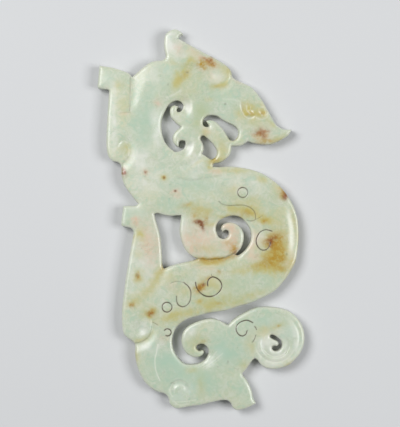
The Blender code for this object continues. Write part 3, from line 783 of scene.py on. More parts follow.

# %% [markdown]
# ## Where the stone is stained
#
# Jade of this age is not one colour. Iron has crept in as straw, gold and rust, mostly along the right side
# of the body, in the brow and the beak and under the shoulder; the shoulder itself is flushed with peach;
# some bands are greener and some are chalky. Not all of it is the stone's colour: many chalk-white patches
# are painted highlights on slopes, hook hollows, the bulb and the tail's rims, and the straw and green along
# the fold and the limb's lower edge are partly painted shade. Each stain is a soft oval: its place on the
# drawing, its half length and half width, the way its length is turned, and its strength.

# %% Iron stains
# Straw stains. Most are iron, but three also paint shade: the fold and the side of the fold paint the shade
# in its valley, and the limb's lower edge, middle paints shade along the limb's rounded lower edge.
straw_stains_and_shade = {
    "streak under the brow": (-6.4, 135.2, 5.4, 2.2, 57, 0.95),
    "streak, upper end": (-3.4, 139.0, 2.0, 1.5, 30, 0.50),
    "streak, lower end": (-9.6, 130.6, 2.6, 1.4, 50, 0.60),
    "root of the horn": (-11.2, 139.2, 2.8, 1.2, -20, 0.35),
    "lobe of the brow, right": (11.2, 135.2, 1.5, 3.0, 0, 0.50),
    "lobe of the brow, lower edge": (7.4, 129.8, 3.4, 1.2, 8, 0.75),
    "lobe of the brow, lower right": (10.6, 131.4, 2.8, 0.7, 52, 0.50),
    "lobe of the brow, above": (8.4, 137.2, 3.0, 1.4, -35, 0.35),
    "cheek": (-4.0, 126.4, 4.4, 2.0, 0, 0.25),
    "cheek, low": (0.4, 119.4, 3.0, 4.0, 0, 0.30),
    "cheek, front": (3.4, 124.2, 1.8, 0.8, 0, 0.60),
    "bridge between hooks and mouth": (-1.6, 114.0, 3.0, 2.2, 30, 0.30),
    "rear nostril": (19.4, 119.8, 3.2, 3.0, 0, 0.95),
    "front nostril": (24.8, 118.9, 2.7, 2.4, 0, 0.95),
    "both nostrils": (21.8, 119.6, 5.4, 2.6, -8, 0.45),
    "under the nostrils": (21.6, 114.6, 5.0, 3.0, 0, 0.30),
    "underside of the beak": (31.6, 108.6, 3.6, 1.1, 28, 0.60),
    "ridge of the beak": (28.8, 114.4, 2.4, 0.9, -48, 0.40),
    "lip": (12.8, 108.0, 3.6, 1.8, 0, 0.35),
    "chin": (8.6, 104.4, 2.2, 4.6, 12, 0.50),
    "chin, lower edge": (6.0, 100.0, 3.2, 1.5, 12, 0.95),
    "hinge of the mouth": (1.8, 111.4, 1.6, 2.6, 0, 0.42),
    "root of the chin": (3.9, 97.2, 1.4, 0.8, 0, 0.65),
    "upper edge of the body": (14.0, 95.8, 7.0, 1.2, -3, 0.42),
    "crease of the jaw": (-1.4, 98.4, 5.0, 0.7, 35, 0.35),
    "around the ring": (12.8, 88.0, 4.0, 2.4, 20, 0.40),
    "below the ring": (18.2, 84.2, 6.4, 2.4, -5, 0.50),
    "trailing line": (18.8, 79.6, 5.2, 2.4, -8, 1.00),
    "trailing line, left": (11.4, 80.8, 4.0, 1.5, 0, 0.60),
    "trailing line, end": (25.6, 76.2, 3.6, 2.0, -15, 0.95),
    "over the scroll": (9.4, 77.4, 4.0, 1.1, 0, 0.70),
    "over the lobe, left": (-4.0, 81.4, 3.6, 1.8, 10, 0.70),
    "over the lobe, middle": (2.2, 79.4, 3.4, 2.0, 0, 0.50),
    "over the lobe, edge": (4.8, 74.4, 2.6, 1.0, 10, 0.50),
    "right edge, upper": (31.4, 87.2, 3.0, 2.6, -42, 0.70),
    "right edge, start": (25.0, 92.2, 2.0, 1.2, -30, 0.50),
    "right edge, long line": (37.4, 76.0, 0.9, 5.5, 8, 0.65),
    "right edge, lower": (36.6, 59.4, 1.8, 2.0, 0, 0.55),
    "right edge, rim": (39.6, 69.0, 0.7, 9.0, 2, 0.60),
    "mottles over the lobe": (-1.2, 79.0, 4.0, 3.0, 0, 0.45),
    "bend of the body, halo": (30.2, 62.4, 6.0, 7.4, 0, 1.00),
    "bend of the body, low": (25.4, 57.6, 6.0, 2.2, 8, 0.80),
    "bend of the body, lowest": (32.0, 56.0, 4.6, 2.2, -18, 0.60),
    "bend of the body, left": (20.4, 57.8, 3.4, 1.2, 15, 0.45),
    "under the shoulder": (4.8, 59.2, 8.0, 1.5, 0, 0.85),
    "lobe, low": (2.4, 64.4, 4.4, 1.8, 0, 0.40),
    "lower lug, top": (-24.2, 70.0, 2.4, 3.0, 0, 0.85),
    "lower lug, middle": (-24.8, 62.4, 2.2, 1.6, 0, 0.38),
    "lower lug, spot": (-25.0, 53.4, 2.4, 2.8, 0, 0.60),
    # This entry and the next are partly painted shade in the valley of the fold, over its olive colour.
    "lower lug, side of the fold": (-20.4, 47.6, 2.6, 4.0, -35, 0.48),
    "fold": (-16.8, 54.0, 1.7, 4.6, -25, 0.60),
    "lower lug, left spot": (-26.4, 43.2, 3.4, 2.4, 20, 0.60),
    "lower lug, strong spot": (-19.8, 38.8, 3.4, 2.6, 0, 0.70),
    "ring round the bulb": (-19.4, 30.0, 1.2, 3.0, -35, 0.45),
    "bulb, low": (-24.0, 28.0, 3.0, 1.1, 10, 0.50),
    "limb, upper left": (-9.6, 53.4, 5.4, 1.8, 12, 0.40),
    "limb, left": (-7.6, 47.4, 3.4, 3.4, 0, 0.35),
    "limb, middle": (6.0, 47.6, 12.0, 5.4, 12, 0.30),
    "body, right": (32.0, 74.0, 5.0, 11.0, 8, 0.35),
    "head": (-2.0, 131.0, 12.0, 8.0, 20, 0.18),
    "limb, low left": (-10.6, 37.4, 4.4, 2.7, 25, 0.75),
    "limb, lower edge": (-1.6, 39.6, 5.6, 1.4, 14, 0.75),
    # Partly painted shade along the limb's rounded lower edge, over its olive colour.
    "limb, lower edge, middle": (8.0, 43.0, 8.8, 2.4, 14, 0.75),
    "limb, lower edge, right": (20.4, 45.6, 7.0, 1.4, 22, 0.55),
    "limb, spot under the comma": (0.0, 43.6, 1.5, 1.0, 20, 0.65),
    "comma": (5.0, 50.0, 2.6, 2.6, 0, 0.42),
    "limb, upper edge": (16.0, 55.4, 8.6, 1.2, 5, 0.42),
    "tail, spot": (1.6, 27.6, 1.6, 1.2, 0, 0.50),
    "hooked branch": (-2.0, 26.2, 3.2, 3.8, 0, 0.42),
    "rolled tail, spot": (31.2, 33.8, 2.6, 1.0, 20, 0.50),
    "rolled tail, left": (25.4, 31.4, 5.4, 2.2, 15, 0.38),
    "root of the rolled tail": (20.4, 25.6, 2.0, 3.4, 10, 0.42),
    "shank": (17.8, 17.6, 2.4, 2.2, 0, 0.42),
    "bend of the tail": (-3.2, 16.0, 2.4, 1.3, 0, 0.45),
    "left flank of the tail": (-25.6, 22.0, 1.1, 3.4, 8, 0.45),
    "rolled tail, lower edge": (35.6, 18.0, 2.4, 0.9, 35, 0.50),
    "between the feet": (0.2, 10.0, 1.6, 4.0, 0, 0.35),
    "flag of the upper lug": (-32.4, 130.4, 1.8, 2.0, 0, 0.50),
    "upper lug": (-31.0, 121.6, 3.2, 5.6, 0, 0.28),
    "foot of the upper lug": (-29.8, 104.6, 1.9, 2.8, 10, 0.55),
    "speck on the neck": (-14.4, 92.9, 1.4, 1.4, 0, 0.95),
}
gold_stains = {
    "brow": (0.9, 138.2, 2.2, 2.1, 0, 0.80),
    "brow, middle": (1.2, 137.6, 1.1, 1.2, 0, 0.90),
    "brow, core": (0.8, 138.6, 1.1, 1.2, 0, 0.90),
    "brow, right": (5.0, 138.0, 2.0, 1.4, -25, 0.55),
    "brow, under the red": (4.0, 139.6, 2.0, 1.5, -30, 0.70),
    "streak under the brow": (-6.2, 134.2, 3.0, 1.0, 50, 0.30),
    "lobe of the brow, lower edge": (7.6, 129.6, 2.6, 0.7, 8, 0.12),
    "rear nostril": (20.2, 118.8, 1.7, 0.8, -10, 0.60),
    "front nostril": (25.2, 118.7, 1.5, 1.0, 0, 0.60),
    "rear nostril, left": (17.0, 121.4, 0.7, 2.0, 12, 0.30),
    "beak, lower edge": (26.4, 107.4, 4.0, 1.0, 5, 0.70),
    "beak": (24.6, 110.0, 2.6, 2.2, 0, 0.60),
    "chin, lower edge": (5.6, 99.7, 2.4, 0.8, 15, 0.50),
    "right edge, upper": (33.2, 86.4, 1.4, 1.8, -20, 0.75),
    "trailing line": (18.8, 78.8, 2.8, 1.3, 0, 0.50),
    "trailing line, end": (25.6, 75.6, 1.5, 1.0, 0, 0.80),
    "over the lobe": (-5.6, 82.0, 1.7, 0.8, 20, 0.45),
    "bend of the body": (30.6, 65.4, 3.0, 4.6, 0, 1.00),
    "bend of the body, streak": (28.8, 67.8, 2.8, 1.8, 25, 1.00),
    "bend of the body, under the streak": (28.4, 67.2, 2.0, 1.5, 25, 0.90),
    "mottles over the lobe": (-1.2, 79.0, 3.6, 2.4, 0, 0.22),
    "bend of the body, streak right": (32.0, 69.4, 2.0, 1.1, 10, 0.70),
    "bend of the body, low": (29.2, 60.4, 4.0, 2.2, 0, 1.00),
    "bend of the body, left": (24.8, 58.0, 3.8, 1.3, 10, 0.60),
    "bend of the body, right": (33.2, 62.0, 1.6, 3.4, 0, 0.65),
    "bend of the body, lowest": (31.6, 56.9, 3.4, 1.3, -10, 0.55),
    "edge of the shoulder, left": (2.0, 60.2, 4.2, 0.90, -3, 0.90),
    "edge of the shoulder, middle": (8.0, 60.4, 4.0, 0.85, 3, 0.90),
    "edge of the shoulder, right": (12.8, 61.4, 2.2, 0.75, 15, 0.70),
    "under the shoulder": (4.4, 58.9, 3.8, 0.7, 0, 0.55),
    "end of the scroll": (13.4, 64.4, 1.4, 2.4, -30, 0.85),
    "inside of the scroll": (11.2, 66.8, 1.7, 1.4, 0, 0.40),
    "around the dark mark": (0.0, 74.9, 2.8, 1.4, -10, 0.45),
    "right of the dark mark": (2.6, 76.6, 0.7, 1.8, -15, 0.60),
    "left of the dark mark": (-2.2, 77.2, 0.7, 1.5, 20, 0.45),
    "comma": (0.5, 49.5, 2.4, 1.6, 45, 1.00),
    "comma, left": (-0.8, 48.2, 1.3, 1.4, 0, 0.90),
    "comma, top": (3.4, 52.6, 1.4, 0.8, 15, 0.50),
    "limb, upper spot": (7.6, 55.2, 0.6, 1.0, 0, 0.50),
    "limb, spot under the comma": (0.0, 43.6, 0.9, 0.6, 20, 0.55),
    "limb, lower spot": (7.6, 42.8, 0.9, 0.6, 0, 0.45),
    "lower lug, spot": (-24.8, 53.6, 0.9, 1.4, 0, 0.90),
    "lower lug, strong spot": (-19.8, 38.9, 1.5, 1.4, 0, 1.00),
    "lower lug, left spot": (-27.2, 41.8, 1.3, 1.1, 0, 0.90),
    "fold": (-15.4, 56.4, 0.9, 1.6, -20, 0.45),
    "rolled tail, spot": (31.4, 33.6, 0.7, 0.5, 0, 0.55),
    "tail, spot": (1.6, 27.6, 0.6, 0.5, 0, 0.50),
    "rolled tail, lower edge": (36.0, 17.6, 0.9, 0.5, 30, 0.50),
    "speck on the neck": (-14.4, 93.1, 0.8, 0.8, 0, 0.60),
}
rust_stains = {
    "brow": (4.2, 140.0, 0.7, 1.6, -30, 0.52),
    "brow, left": (2.6, 140.2, 1.8, 0.6, -25, 0.45),
    "brow, right": (5.2, 138.4, 1.0, 0.7, -30, 0.35),
    "beak, middle of the star": (24.9, 110.8, 1.4, 1.2, 0, 0.66),
    "beak, left arm": (22.9, 110.9, 1.3, 0.8, -8, 0.50),
    "beak, lower arm": (25.4, 109.4, 0.8, 1.1, 25, 0.50),
    "beak, upper arm": (24.2, 112.4, 0.9, 0.8, -15, 0.45),
    "beak, right arm": (27.0, 111.5, 1.4, 0.6, 0, 0.40),
    "right edge": (34.0, 85.4, 1.0, 1.5, 20, 0.85),
    "bend of the body, streak": (28.6, 68.2, 2.4, 1.0, 25, 0.90),
    "bend of the body, streak down": (28.2, 66.8, 1.0, 1.6, 12, 0.75),
    "dark mark, bar": (-0.4, 75.2, 1.8, 0.75, 0, 1.30),
    "dark mark, stem": (0.8, 73.6, 1.7, 0.72, -66, 1.30),
    "end of the scroll": (14.0, 63.2, 0.6, 1.3, -30, 0.55),
    "speck on the neck, left": (-22.0, 95.2, 0.55, 0.55, 0, 0.75),
    "speck on the neck, middle": (-14.4, 92.9, 0.42, 0.42, 0, 1.20),
    "speck on the neck, right": (-9.8, 87.6, 0.40, 0.40, 0, 1.20),
    "left edge of the neck": (-30.6, 95.2, 1.1, 1.7, 10, 1.00),
    "comma": (1.4, 50.2, 1.2, 0.6, 30, 0.80),
    "comma, left": (-0.4, 48.6, 0.7, 1.0, 0, 0.60),
    "lower lug, strong spot": (-19.8, 38.6, 1.0, 0.9, 0, 0.70),
    "lower lug, spot": (-24.9, 53.8, 0.6, 0.8, 0, 0.40),
    "lower lug, left spot": (-27.2, 41.8, 0.6, 0.5, 0, 0.30),
}
print("iron stains:", len(straw_stains_and_shade) + len(gold_stains) + len(rust_stains))

# %% Flushes, chalk with painted highlights, green with some painted shade, and specks
peach_flushes = {
    "lobe": (0.0, 68.0, 7.4, 6.8, 0, 0.60),
    "scroll": (12.8, 70.0, 2.8, 4.8, 0, 0.80),
    "scroll, top": (10.0, 74.0, 2.8, 1.7, 0, 0.70),
    "scroll, low": (12.0, 65.2, 3.2, 2.2, 0, 0.70),
    "lobe, left": (-4.2, 66.4, 2.2, 5.0, 20, 0.40),
    "brow": (3.6, 140.0, 2.1, 1.5, -25, 1.00),
    "brow, right": (5.6, 138.2, 1.6, 1.5, 0, 0.75),
    "brow, left": (0.6, 140.6, 1.6, 0.9, 0, 0.55),
    "horn": (-8.8, 144.4, 1.8, 2.4, 0, 0.40),
    "brow, middle": (-2.0, 143.2, 5.4, 1.7, -28, 0.35),
    "lobe of the brow": (4.8, 133.2, 2.4, 2.0, 0, 0.25),
    "nape": (-16.8, 122.8, 1.5, 1.5, 0, 0.55),
    "top of the beak": (15.6, 131.4, 2.4, 0.9, -25, 0.50),
    "beak": (25.0, 110.8, 2.8, 2.6, 0, 0.85),
    "speck on the neck, left": (-22.0, 95.2, 1.3, 1.3, 0, 0.55),
    "speck on the neck, right": (-9.6, 86.9, 1.9, 1.5, -20, 0.65),
    "hinge of the mouth": (2.8, 111.4, 1.4, 2.0, 0, 0.42),
    "upper edge of the body": (6.4, 95.4, 3.0, 0.9, 0, 0.60),
    "right of the scroll": (20.4, 65.2, 2.0, 3.4, -15, 0.60),
    "right of the scroll, low": (21.6, 61.4, 2.6, 1.7, 0, 0.50),
    "right of the scroll, high": (22.4, 69.6, 2.0, 3.2, 0, 0.35),
    "right edge, lower": (36.6, 59.4, 1.7, 2.4, 0, 0.60),
    "right edge, upper": (32.4, 88.0, 2.4, 1.6, -45, 0.45),
    "lower lug": (-20.6, 66.0, 3.4, 9.0, 6, 0.62),
    "lower lug, flag": (-25.4, 76.0, 1.9, 2.0, 0, 0.80),
    "lower lug, right edge": (-16.6, 66.4, 1.1, 4.0, 5, 0.35),
    "limb, upper left": (2.0, 56.8, 5.4, 1.3, -10, 0.35),
    "limb, left": (-11.0, 50.0, 2.4, 2.0, 0, 0.25),
    "upper lug, step": (-30.4, 118.6, 2.2, 0.6, 0, 0.45),
    "foot of the limb": (-14.0, 28.6, 2.6, 2.0, 0, 0.30),
}
# Chalk-white patches, partly the stone's own chalky colour and partly painted highlights: the patches by the
# crescent, beside both hooks, on the right side of the body, on and under the bulb, on the hooked branch, on
# the slope of the tail, on the lobe of the brow and on the coil and rims of the rolled tail paint the shine
# of the lamps on those slopes.
chalk_and_painted_highlights = {
    "neck": (-23.2, 100.0, 3.6, 5.0, 0, 0.60),
    "neck, low": (-20.0, 92.0, 6.6, 4.4, 0, 0.45),
    "by the lower hook": (-2.2, 98.0, 3.8, 2.5, 35, 0.60),
    "under the jaw": (-0.6, 94.8, 3.6, 1.6, 30, 0.40),
    "lobe of the brow": (6.2, 133.6, 3.0, 2.6, 0, 0.45),
    "horn": (-11.0, 147.0, 3.6, 5.6, 20, 0.70),
    "flag of the upper lug": (-36.0, 131.0, 4.0, 3.0, 0, 0.25),
    "upper lug, left edge": (-34.4, 116.0, 1.2, 12.0, 0, 0.50),
    "upper edge of the body": (16.0, 91.0, 10.0, 3.0, -8, 0.40),
    "lobe": (0.0, 70.0, 6.0, 6.0, 0, 0.35),
    "coil": (29.6, 25.0, 7.6, 6.6, 0, 0.60),
    "nape": (-18.0, 134.0, 5.0, 4.0, 0, 0.40),
    "rolled tail, right": (38.2, 29.0, 1.6, 7.0, 10, 0.50),
    "left foot": (-7.0, 7.0, 5.0, 4.0, 0, 0.35),
    "lower lug": (-22.6, 62.0, 4.4, 12.0, 6, 0.62),
    "lower lug, left edge": (-28.0, 58.0, 1.2, 9.0, 6, 0.45),
    "lobe, upper left": (-6.4, 74.0, 1.7, 3.2, 0, 0.60),
    "lobe, left": (-4.8, 66.0, 1.1, 4.0, 25, 0.50),
    "inside the open ring": (24.8, 68.6, 2.0, 2.4, 0, 0.70),
    "left of the open ring": (20.9, 67.6, 1.1, 4.4, 0, 0.50),
    "under the open ring": (22.2, 61.4, 2.0, 1.6, 0, 0.60),
    "right side of the body": (36.4, 70.0, 1.2, 10.0, 2, 0.95),
    "bulb": (-22.8, 32.0, 1.8, 2.1, 0, 1.00),
    "under the bulb": (-21.6, 25.6, 2.6, 1.9, 0, 0.55),
    "foot of the limb": (-15.8, 26.0, 2.6, 2.0, 0, 0.55),
    "hooked branch": (-3.4, 31.6, 1.3, 3.2, -38, 0.70),
    "slope of the tail": (4.4, 19.8, 4.4, 1.8, 40, 0.60),
    "rolled tail, left": (24.8, 24.2, 1.3, 4.4, 0, 0.55),
    "rolled tail, low": (29.0, 18.8, 4.4, 1.6, 10, 0.40),
    "neck, by the crescent": (-17.4, 112.6, 2.2, 8.4, 4, 0.60),
    "beside the upper hook": (-4.8, 121.4, 1.6, 2.8, 10, 0.80),
    "beside the lower hook": (-4.0, 104.8, 1.7, 2.6, -15, 0.80),
    "comma": (9.4, 46.6, 3.4, 2.0, 20, 0.35),
    "ring of the shoulder": (17.0, 87.6, 4.0, 2.6, 0, 0.35),
}
deep_green = {
    "neck": (-22.0, 114.0, 4.6, 9.4, 4, 0.75),
    "nape": (-20.0, 126.0, 2.8, 6.4, -18, 0.50),
    "crown": (-14.0, 136.0, 5.4, 3.0, 12, 0.42),
    "temple": (-12.0, 130.0, 4.4, 4.0, 0, 0.35),
    "head": (10.0, 124.4, 6.0, 3.4, -25, 0.50),
    "between the hooks": (-4.0, 113.4, 3.4, 4.4, 0, 0.45),
    "cheek": (2.4, 128.0, 3.4, 3.4, 0, 0.35),
    "cheek, low": (0.6, 119.6, 3.4, 4.4, 0, 0.75),
    "top of the lower lug": (-24.6, 77.6, 4.0, 3.0, 0, 0.60),
    "shoulder": (-2.0, 90.4, 9.0, 3.6, -5, 0.50),
    "over the open gap": (-12.0, 82.4, 7.0, 2.6, 5, 0.40),
    "limb": (14.0, 50.0, 8.6, 3.2, 20, 0.50),
    "limb, right": (28.0, 50.6, 5.0, 3.0, 40, 0.40),
    "bend of the tail": (-12.0, 18.0, 10.0, 8.0, -35, 0.85),
    "bend of the tail, right": (0.0, 14.0, 5.0, 3.6, 0, 0.70),
    # Partly painted shade: darker green towards the limb's rounded lower edge.
    "limb, low": (10.0, 44.6, 8.0, 2.4, 14, 0.60),
    "tail": (10.0, 24.0, 9.0, 7.4, 0, 0.85),
    "rolled tail": (26.0, 36.0, 7.0, 3.4, 15, 0.60),
    "rolled tail, right": (36.0, 30.0, 3.6, 7.0, 10, 0.55),
    "coil": (30.6, 23.0, 4.4, 2.4, 0, 0.30),
    "between the feet": (4.0, 10.0, 6.4, 4.4, 0, 0.55),
    "left foot": (-8.0, 6.0, 5.4, 4.2, 0, 0.65),
    "right foot": (17.4, 7.6, 4.0, 5.6, 20, 0.55),
    "flag of the upper lug": (-37.0, 132.8, 3.0, 3.2, 0, 0.35),
    "flag of the lower lug": (-29.6, 79.0, 1.5, 2.7, 0, 0.40),
}
dark_specks = {
    "temple": (-12.8, 130.3, 0.25, 0.45, 0, 0.50),
    "streak under the brow": (-5.2, 135.0, 0.55, 0.28, 10, 0.65),
    "head": (10.0, 122.4, 0.35, 0.30, 0, 0.75),
    "neck, middle": (-14.4, 92.8, 0.36, 0.36, 0, 0.60),
    "neck, right": (-9.8, 87.5, 0.36, 0.36, 0, 0.70),
    "bend of the body": (34.8, 62.4, 0.30, 0.50, 0, 0.50),
    "tail": (11.2, 19.2, 0.28, 0.55, 0, 0.50),
    "tail, left": (7.2, 17.2, 0.35, 0.25, 0, 0.30),
    "comma": (1.4, 50.4, 0.55, 0.26, 20, 0.50),
    "dark mark, bar": (-0.3, 75.1, 1.5, 0.45, 0, 0.30),
    "dark mark, stem": (0.8, 73.8, 1.3, 0.45, -66, 0.30),
    "lower lug": (-25.2, 53.8, 0.50, 0.60, 0, 0.35),
}
print("other markings:", len(peach_flushes) + len(chalk_and_painted_highlights) + len(deep_green) + len(dark_specks))

# %% [markdown]
# ## The stains creep
#
# A stain never ends in a neat oval. Noise pushes every spot about before it is asked how stained it is, far
# for the wide stains and a little for the narrow ones, so the ovals melt into ragged, branching shapes.
# The amounts are stored on the points of the skin, and the material reads them.

# %% Stain maps on the skin
CREEP_LENGTH = 2.6 * MM
# Without a seed this noise starts from the clock, and each run would give other stains.
CREEP_SEED = 3
FARTHEST_CREEP = 1.5 * MM
CREEP_SHARE = 0.55
PAINTED_RIM_GLOW_REACH = 0.7 * MM
# Each push: its size as a share of CREEP_LENGTH, its weight and its seed.
PUSHES = ((1.0, 1.0, 1.3), (0.36, 0.5, 8.1), (0.15, 0.25, 4.6))


def creep_of(points):
    """Which way noise pushes each spot: a wide push, a finer one and a very fine one."""
    noise.seed_set(CREEP_SEED)
    pushes = []
    for x, y in points:
        push = Vector((0, 0, 0))
        for size, weight, seed in PUSHES:
            length = CREEP_LENGTH * size
            push += noise.noise_vector((x / length, y / length, seed)) * weight
        pushes.append(push[:2])
    return np.array(pushes)


def stained(points, creep, stains):
    """How strong a set of stains is at each point; where two meet, they add up softly."""
    clear = np.ones(len(points))
    for x, y, length, width, turned, strength in stains.values():
        reach = min(FARTHEST_CREEP, CREEP_SHARE * min(length, width) * MM)
        away = points + creep * reach - placed((x, y))
        c, s = math.cos(math.radians(turned)), math.sin(math.radians(turned))
        u = (away[:, 0] * c + away[:, 1] * s) / (length * MM)
        v = (away[:, 1] * c - away[:, 0] * s) / (width * MM)
        clear *= 1 - np.clip(strength * np.exp(-(u**2 + v**2)), 0, 1)
    return 1 - clear


def store(name, values):
    """Keeps one amount for every point of the skin."""
    layer = skin.attributes.new(name, "FLOAT", "POINT")
    layer.data.foreach_set("value", np.asarray(values, dtype=np.float32))


spots = corners[:, :2]
gap = rim_gap(spots)
is_front = corners[:, 2] > THICKNESS / 2
creep = creep_of(spots)
for name, stains in (
    ("straw", straw_stains_and_shade), ("gold", gold_stains), ("rust", rust_stains), ("peach", peach_flushes),
    ("chalk_and_highlight", chalk_and_painted_highlights), ("green", deep_green), ("speck", dark_specks),
):
    store(name, stained(spots, creep, stains))
# Painted highlight: the pale hair lines are stored as a painted glint that lightens the colour.
_, dirt, painted_glint = hair_drop(spots)
store("dirt", dirt * is_front)
store("painted_glint", painted_glint * is_front)
# The edge map paints a glow on the rims: the colour is lightened close to the saw line, front and back.
store("edge", np.exp(-((gap / PAINTED_RIM_GLOW_REACH) ** 2)))
print("stain maps:", [layer.name for layer in skin.attributes if layer.data_type == "FLOAT"])

# %% [markdown]
# ## The jade itself
#
# Polished jade is neither glass nor chalk: light goes in a few millimetres, is scattered by felted fibres
# and comes out softened, so thin rims glow and the shadows are pale. The Principled shader's subsurface
# scattering does part of this, and a pale band painted along the saw line adds a painted glow to the rims.
# Its colour is mixed from clouds of several pale greens, and the stain maps lay the other colours over
# them, each broken up by noise of its own; some of those maps are painted highlights and painted shade.
# The polish is a little uneven too.

# %% Helpers for the material
def blank_material(name):
    """A new material, its nodes and its shader."""
    material = bpy.data.materials.new(name)
    material.use_nodes = True
    return material, material.node_tree, material.node_tree.nodes["Principled BSDF"]


def clouds(tree, scale, detail, roughness, warp):
    """Noise over the object's own space, from 0 to 1."""
    where = tree.nodes.new("ShaderNodeTexCoord")
    cloud = tree.nodes.new("ShaderNodeTexNoise")
    cloud.inputs["Scale"].default_value = scale
    cloud.inputs["Detail"].default_value = detail
    cloud.inputs["Roughness"].default_value = roughness
    cloud.inputs["Distortion"].default_value = warp
    tree.links.new(where.outputs["Object"], cloud.inputs["Vector"])
    return cloud.outputs["Fac"]


def ranged(tree, value, low, high, to_low=0.0, to_high=1.0):
    """A value with the range from low to high stretched to another."""
    node = tree.nodes.new("ShaderNodeMapRange")
    node.interpolation_type = "SMOOTHSTEP"
    tree.links.new(value, node.inputs["Value"])
    for name, number in (("From Min", low), ("From Max", high), ("To Min", to_low), ("To Max", to_high)):
        node.inputs[name].default_value = number
    return node.outputs["Result"]


def combined(tree, kind, one, other):
    """Two values, or a value and a number, put through one sum."""
    node = tree.nodes.new("ShaderNodeMath")
    node.operation = kind
    tree.links.new(one, node.inputs[0])
    if isinstance(other, float):
        node.inputs[1].default_value = other
    else:
        tree.links.new(other, node.inputs[1])
    return node.outputs["Value"]


def laid_over(tree, under, colour, amount):
    """A colour laid over another, by an amount from 0 to 1."""
    node = tree.nodes.new("ShaderNodeMix")
    node.data_type = "RGBA"
    node.clamp_factor = True
    tree.links.new(amount, node.inputs["Factor"])
    if isinstance(under, tuple):
        node.inputs["A"].default_value = (*under, 1.0)
    else:
        tree.links.new(under, node.inputs["A"])
    node.inputs["B"].default_value = (*colour, 1.0)
    return node.outputs["Result"]


def stain_map(tree, name):
    """One of the amounts kept on the points of the skin."""
    node = tree.nodes.new("ShaderNodeAttribute")
    node.attribute_name = name
    return node.outputs["Fac"]


print("helpers ready")

# %% The colours of the stone
PALE_CELADON = (0.465, 0.525, 0.398)
GREEN_JADE = (0.370, 0.508, 0.395)
CREAM_JADE = (0.530, 0.525, 0.350)
MILKY_JADE = (0.580, 0.605, 0.520)
CHALK_AND_HIGHLIGHT = (0.680, 0.690, 0.640)
PEACH = (0.620, 0.450, 0.320)
STRAW = (0.455, 0.410, 0.130)
GOLD = (0.385, 0.235, 0.018)
RUST = (0.215, 0.056, 0.010)
SPECK = (0.110, 0.110, 0.060)
OLD_DIRT = (0.052, 0.028, 0.008)
# A pale colour laid over the rims and the pale hair lines as a painted highlight.
PAINTED_HIGHLIGHT = (0.660, 0.680, 0.580)

stone, tree, shader = blank_material("pale_celadon_jade")
wide_cloud = clouds(tree, scale=42.0, detail=4.0, roughness=0.55, warp=0.6)
mid_cloud = clouds(tree, scale=150.0, detail=6.0, roughness=0.62, warp=0.4)
wisps = clouds(tree, scale=330.0, detail=6.0, roughness=0.66, warp=1.6)
fine_cloud = clouds(tree, scale=800.0, detail=5.0, roughness=0.7, warp=0.0)


def broken(name, cloud, least):
    """A stain map broken up by a cloud, down to the least share of it."""
    return combined(tree, "MULTIPLY", stain_map(tree, name), ranged(tree, cloud, 0.36, 0.58, least, 1.15))


colour = laid_over(tree, PALE_CELADON, CREAM_JADE, ranged(tree, wide_cloud, 0.42, 0.70, 0.0, 0.45))
colour = laid_over(tree, colour, CREAM_JADE, ranged(tree, mid_cloud, 0.48, 0.66, 0.0, 0.60))
colour = laid_over(tree, colour, MILKY_JADE, ranged(tree, wisps, 0.44, 0.66, 0.0, 0.65))
colour = laid_over(tree, colour, GREEN_JADE, ranged(tree, wisps, 0.34, 0.50, 0.70, 0.0))
colour = laid_over(tree, colour, CHALK_AND_HIGHLIGHT, ranged(tree, fine_cloud, 0.54, 0.70, 0.0, 0.30))
colour = laid_over(tree, colour, GREEN_JADE, broken("green", mid_cloud, 0.45))
# Chalk white over the chalky stone and, in many patches, as a painted highlight on slopes and rims.
colour = laid_over(tree, colour, CHALK_AND_HIGHLIGHT, broken("chalk_and_highlight", mid_cloud, 0.35))
colour = laid_over(tree, colour, PEACH, broken("peach", fine_cloud, 0.55))
print("clouds of green, chalk and peach laid")

# %% Iron, specks, dirt, and painted highlights on the rims and the pale lines
# Painted highlight: the rims are lightened towards a pale colour by the edge map, as a painted glow.
PAINTED_RIM_GLOW_SHARE = 0.60
colour = laid_over(tree, colour, PAINTED_HIGHLIGHT, combined(tree, "MULTIPLY", stain_map(tree, "edge"), PAINTED_RIM_GLOW_SHARE))
# Straw over the iron stains, and as painted shade along the fold and the limb's lower edge.
colour = laid_over(tree, colour, STRAW, broken("straw", mid_cloud, 0.50))
colour = laid_over(tree, colour, GOLD, broken("gold", fine_cloud, 0.45))
colour = laid_over(tree, colour, RUST, broken("rust", fine_cloud, 0.60))
colour = laid_over(tree, colour, SPECK, stain_map(tree, "speck"))
# Painted highlight along the pale hair lines.
colour = laid_over(tree, colour, PAINTED_HIGHLIGHT, stain_map(tree, "painted_glint"))
colour = laid_over(tree, colour, OLD_DIRT, broken("dirt", mid_cloud, 0.70))
tree.links.new(colour, shader.inputs["Base Color"])
print("iron and dirt laid")

# %% Light in the stone, and the polish
shader.inputs["Subsurface Weight"].default_value = 0.32
shader.inputs["Subsurface Radius"].default_value = (0.9, 1.0, 0.75)
shader.inputs["Subsurface Scale"].default_value = 0.0016
shader.inputs["IOR"].default_value = 1.61
tree.links.new(ranged(tree, mid_cloud, 0.30, 0.70, 0.26, 0.38), shader.inputs["Roughness"])
bump = tree.nodes.new("ShaderNodeBump")
bump.inputs["Strength"].default_value = 0.12
bump.inputs["Distance"].default_value = 0.00006
tree.links.new(fine_cloud, bump.inputs["Height"])
tree.links.new(bump.outputs["Normal"], shader.inputs["Normal"])
skin.materials.append(stone)
print("nodes in the jade:", len(tree.nodes))

# %% [markdown]
# ## The skin takes the solid's place
#
# The skin rides where the solid was and stands in for it. The solid stays behind as the part's weight and
# collision shape.

# %% Hand the skin to the frame
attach(dragon, "root")
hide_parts("jade_carving")
print("the skin rides on root")

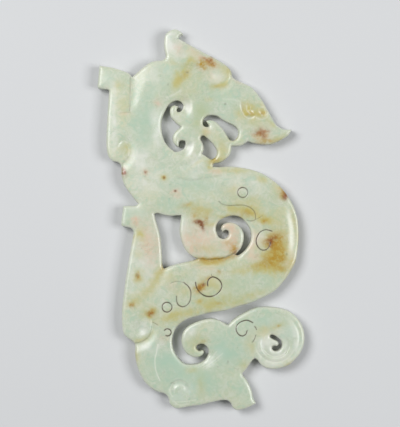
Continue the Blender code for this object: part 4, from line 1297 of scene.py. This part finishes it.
# %% [markdown]
# ## Floor, light and camera
#
# The carving lies on its back on a plain pale floor, and the camera looks straight down on it from far
# enough away that nothing leans. Two broad soft lamps, one from the upper left and a weaker one from the
# right, rake the low slopes just enough to show them, and a dim pale sky all round fills the shadows.

# %% A plain pale floor
FLOOR_REACH = 2
FLOOR_HEIGHT = -0.0002
floor_corners = [
    (x * FLOOR_REACH, y * FLOOR_REACH, FLOOR_HEIGHT) for x, y in ((-1, -1), (1, -1), (1, 1), (-1, 1))
]
floor_mesh = bpy.data.meshes.new("floor")
floor_mesh.from_pydata(floor_corners, [], [(0, 1, 2, 3)])
floor = bpy.data.objects.new("floor", floor_mesh)
bpy.context.scene.collection.objects.link(floor)
paper, _, paper_shader = blank_material("pale_floor")
paper_shader.inputs["Base Color"].default_value = (0.58, 0.59, 0.60, 1.0)
paper_shader.inputs["Roughness"].default_value = 0.9
floor_mesh.materials.append(paper)
floor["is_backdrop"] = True
print("floor laid")


# %% Soft lamps
def soft_lamp(name, place, size, watts):
    """A square lamp that looks at the middle of the carving."""
    light = bpy.data.lights.new(name, "AREA")
    light.size, light.energy = size, watts
    lamp = bpy.data.objects.new(name, light)
    lamp.location = place
    lamp.rotation_euler = (-Vector(place)).to_track_quat("-Z", "Y").to_euler()
    bpy.context.scene.collection.objects.link(lamp)


soft_lamp("lamp_upper_left", place=(-0.42, 0.26, 0.74), size=0.44, watts=6.1)
soft_lamp("lamp_right", place=(0.56, -0.02, 0.66), size=0.42, watts=4.4)
world = bpy.data.worlds.new("studio")
world.use_nodes = True
sky = world.node_tree.nodes["Background"]
sky.inputs["Color"].default_value = (0.95, 0.97, 1.0, 1.0)
sky.inputs["Strength"].default_value = 0.14
bpy.context.scene.world = world
bpy.context.scene.view_settings.view_transform = "Standard"
print("lamps hung")

# %% The camera straight above
PICTURE_HEIGHT, MM_PER_PIXEL = 427, 0.4
VIEW_HEIGHT = PICTURE_HEIGHT * MM_PER_PIXEL * MM
VIEW_MIDDLE = (-0.4 * MM, 2.5 * MM)
CAMERA_DISTANCE = 0.60
lens = bpy.data.cameras.new("camera")
lens.sensor_width = 36.0
lens.lens = lens.sensor_width * CAMERA_DISTANCE / VIEW_HEIGHT
camera = bpy.data.objects.new("camera", lens)
camera.location = (*VIEW_MIDDLE, THICKNESS + CAMERA_DISTANCE)
bpy.context.scene.collection.objects.link(camera)
bpy.context.scene.camera = camera
print("lens in mm:", round(lens.lens, 1))
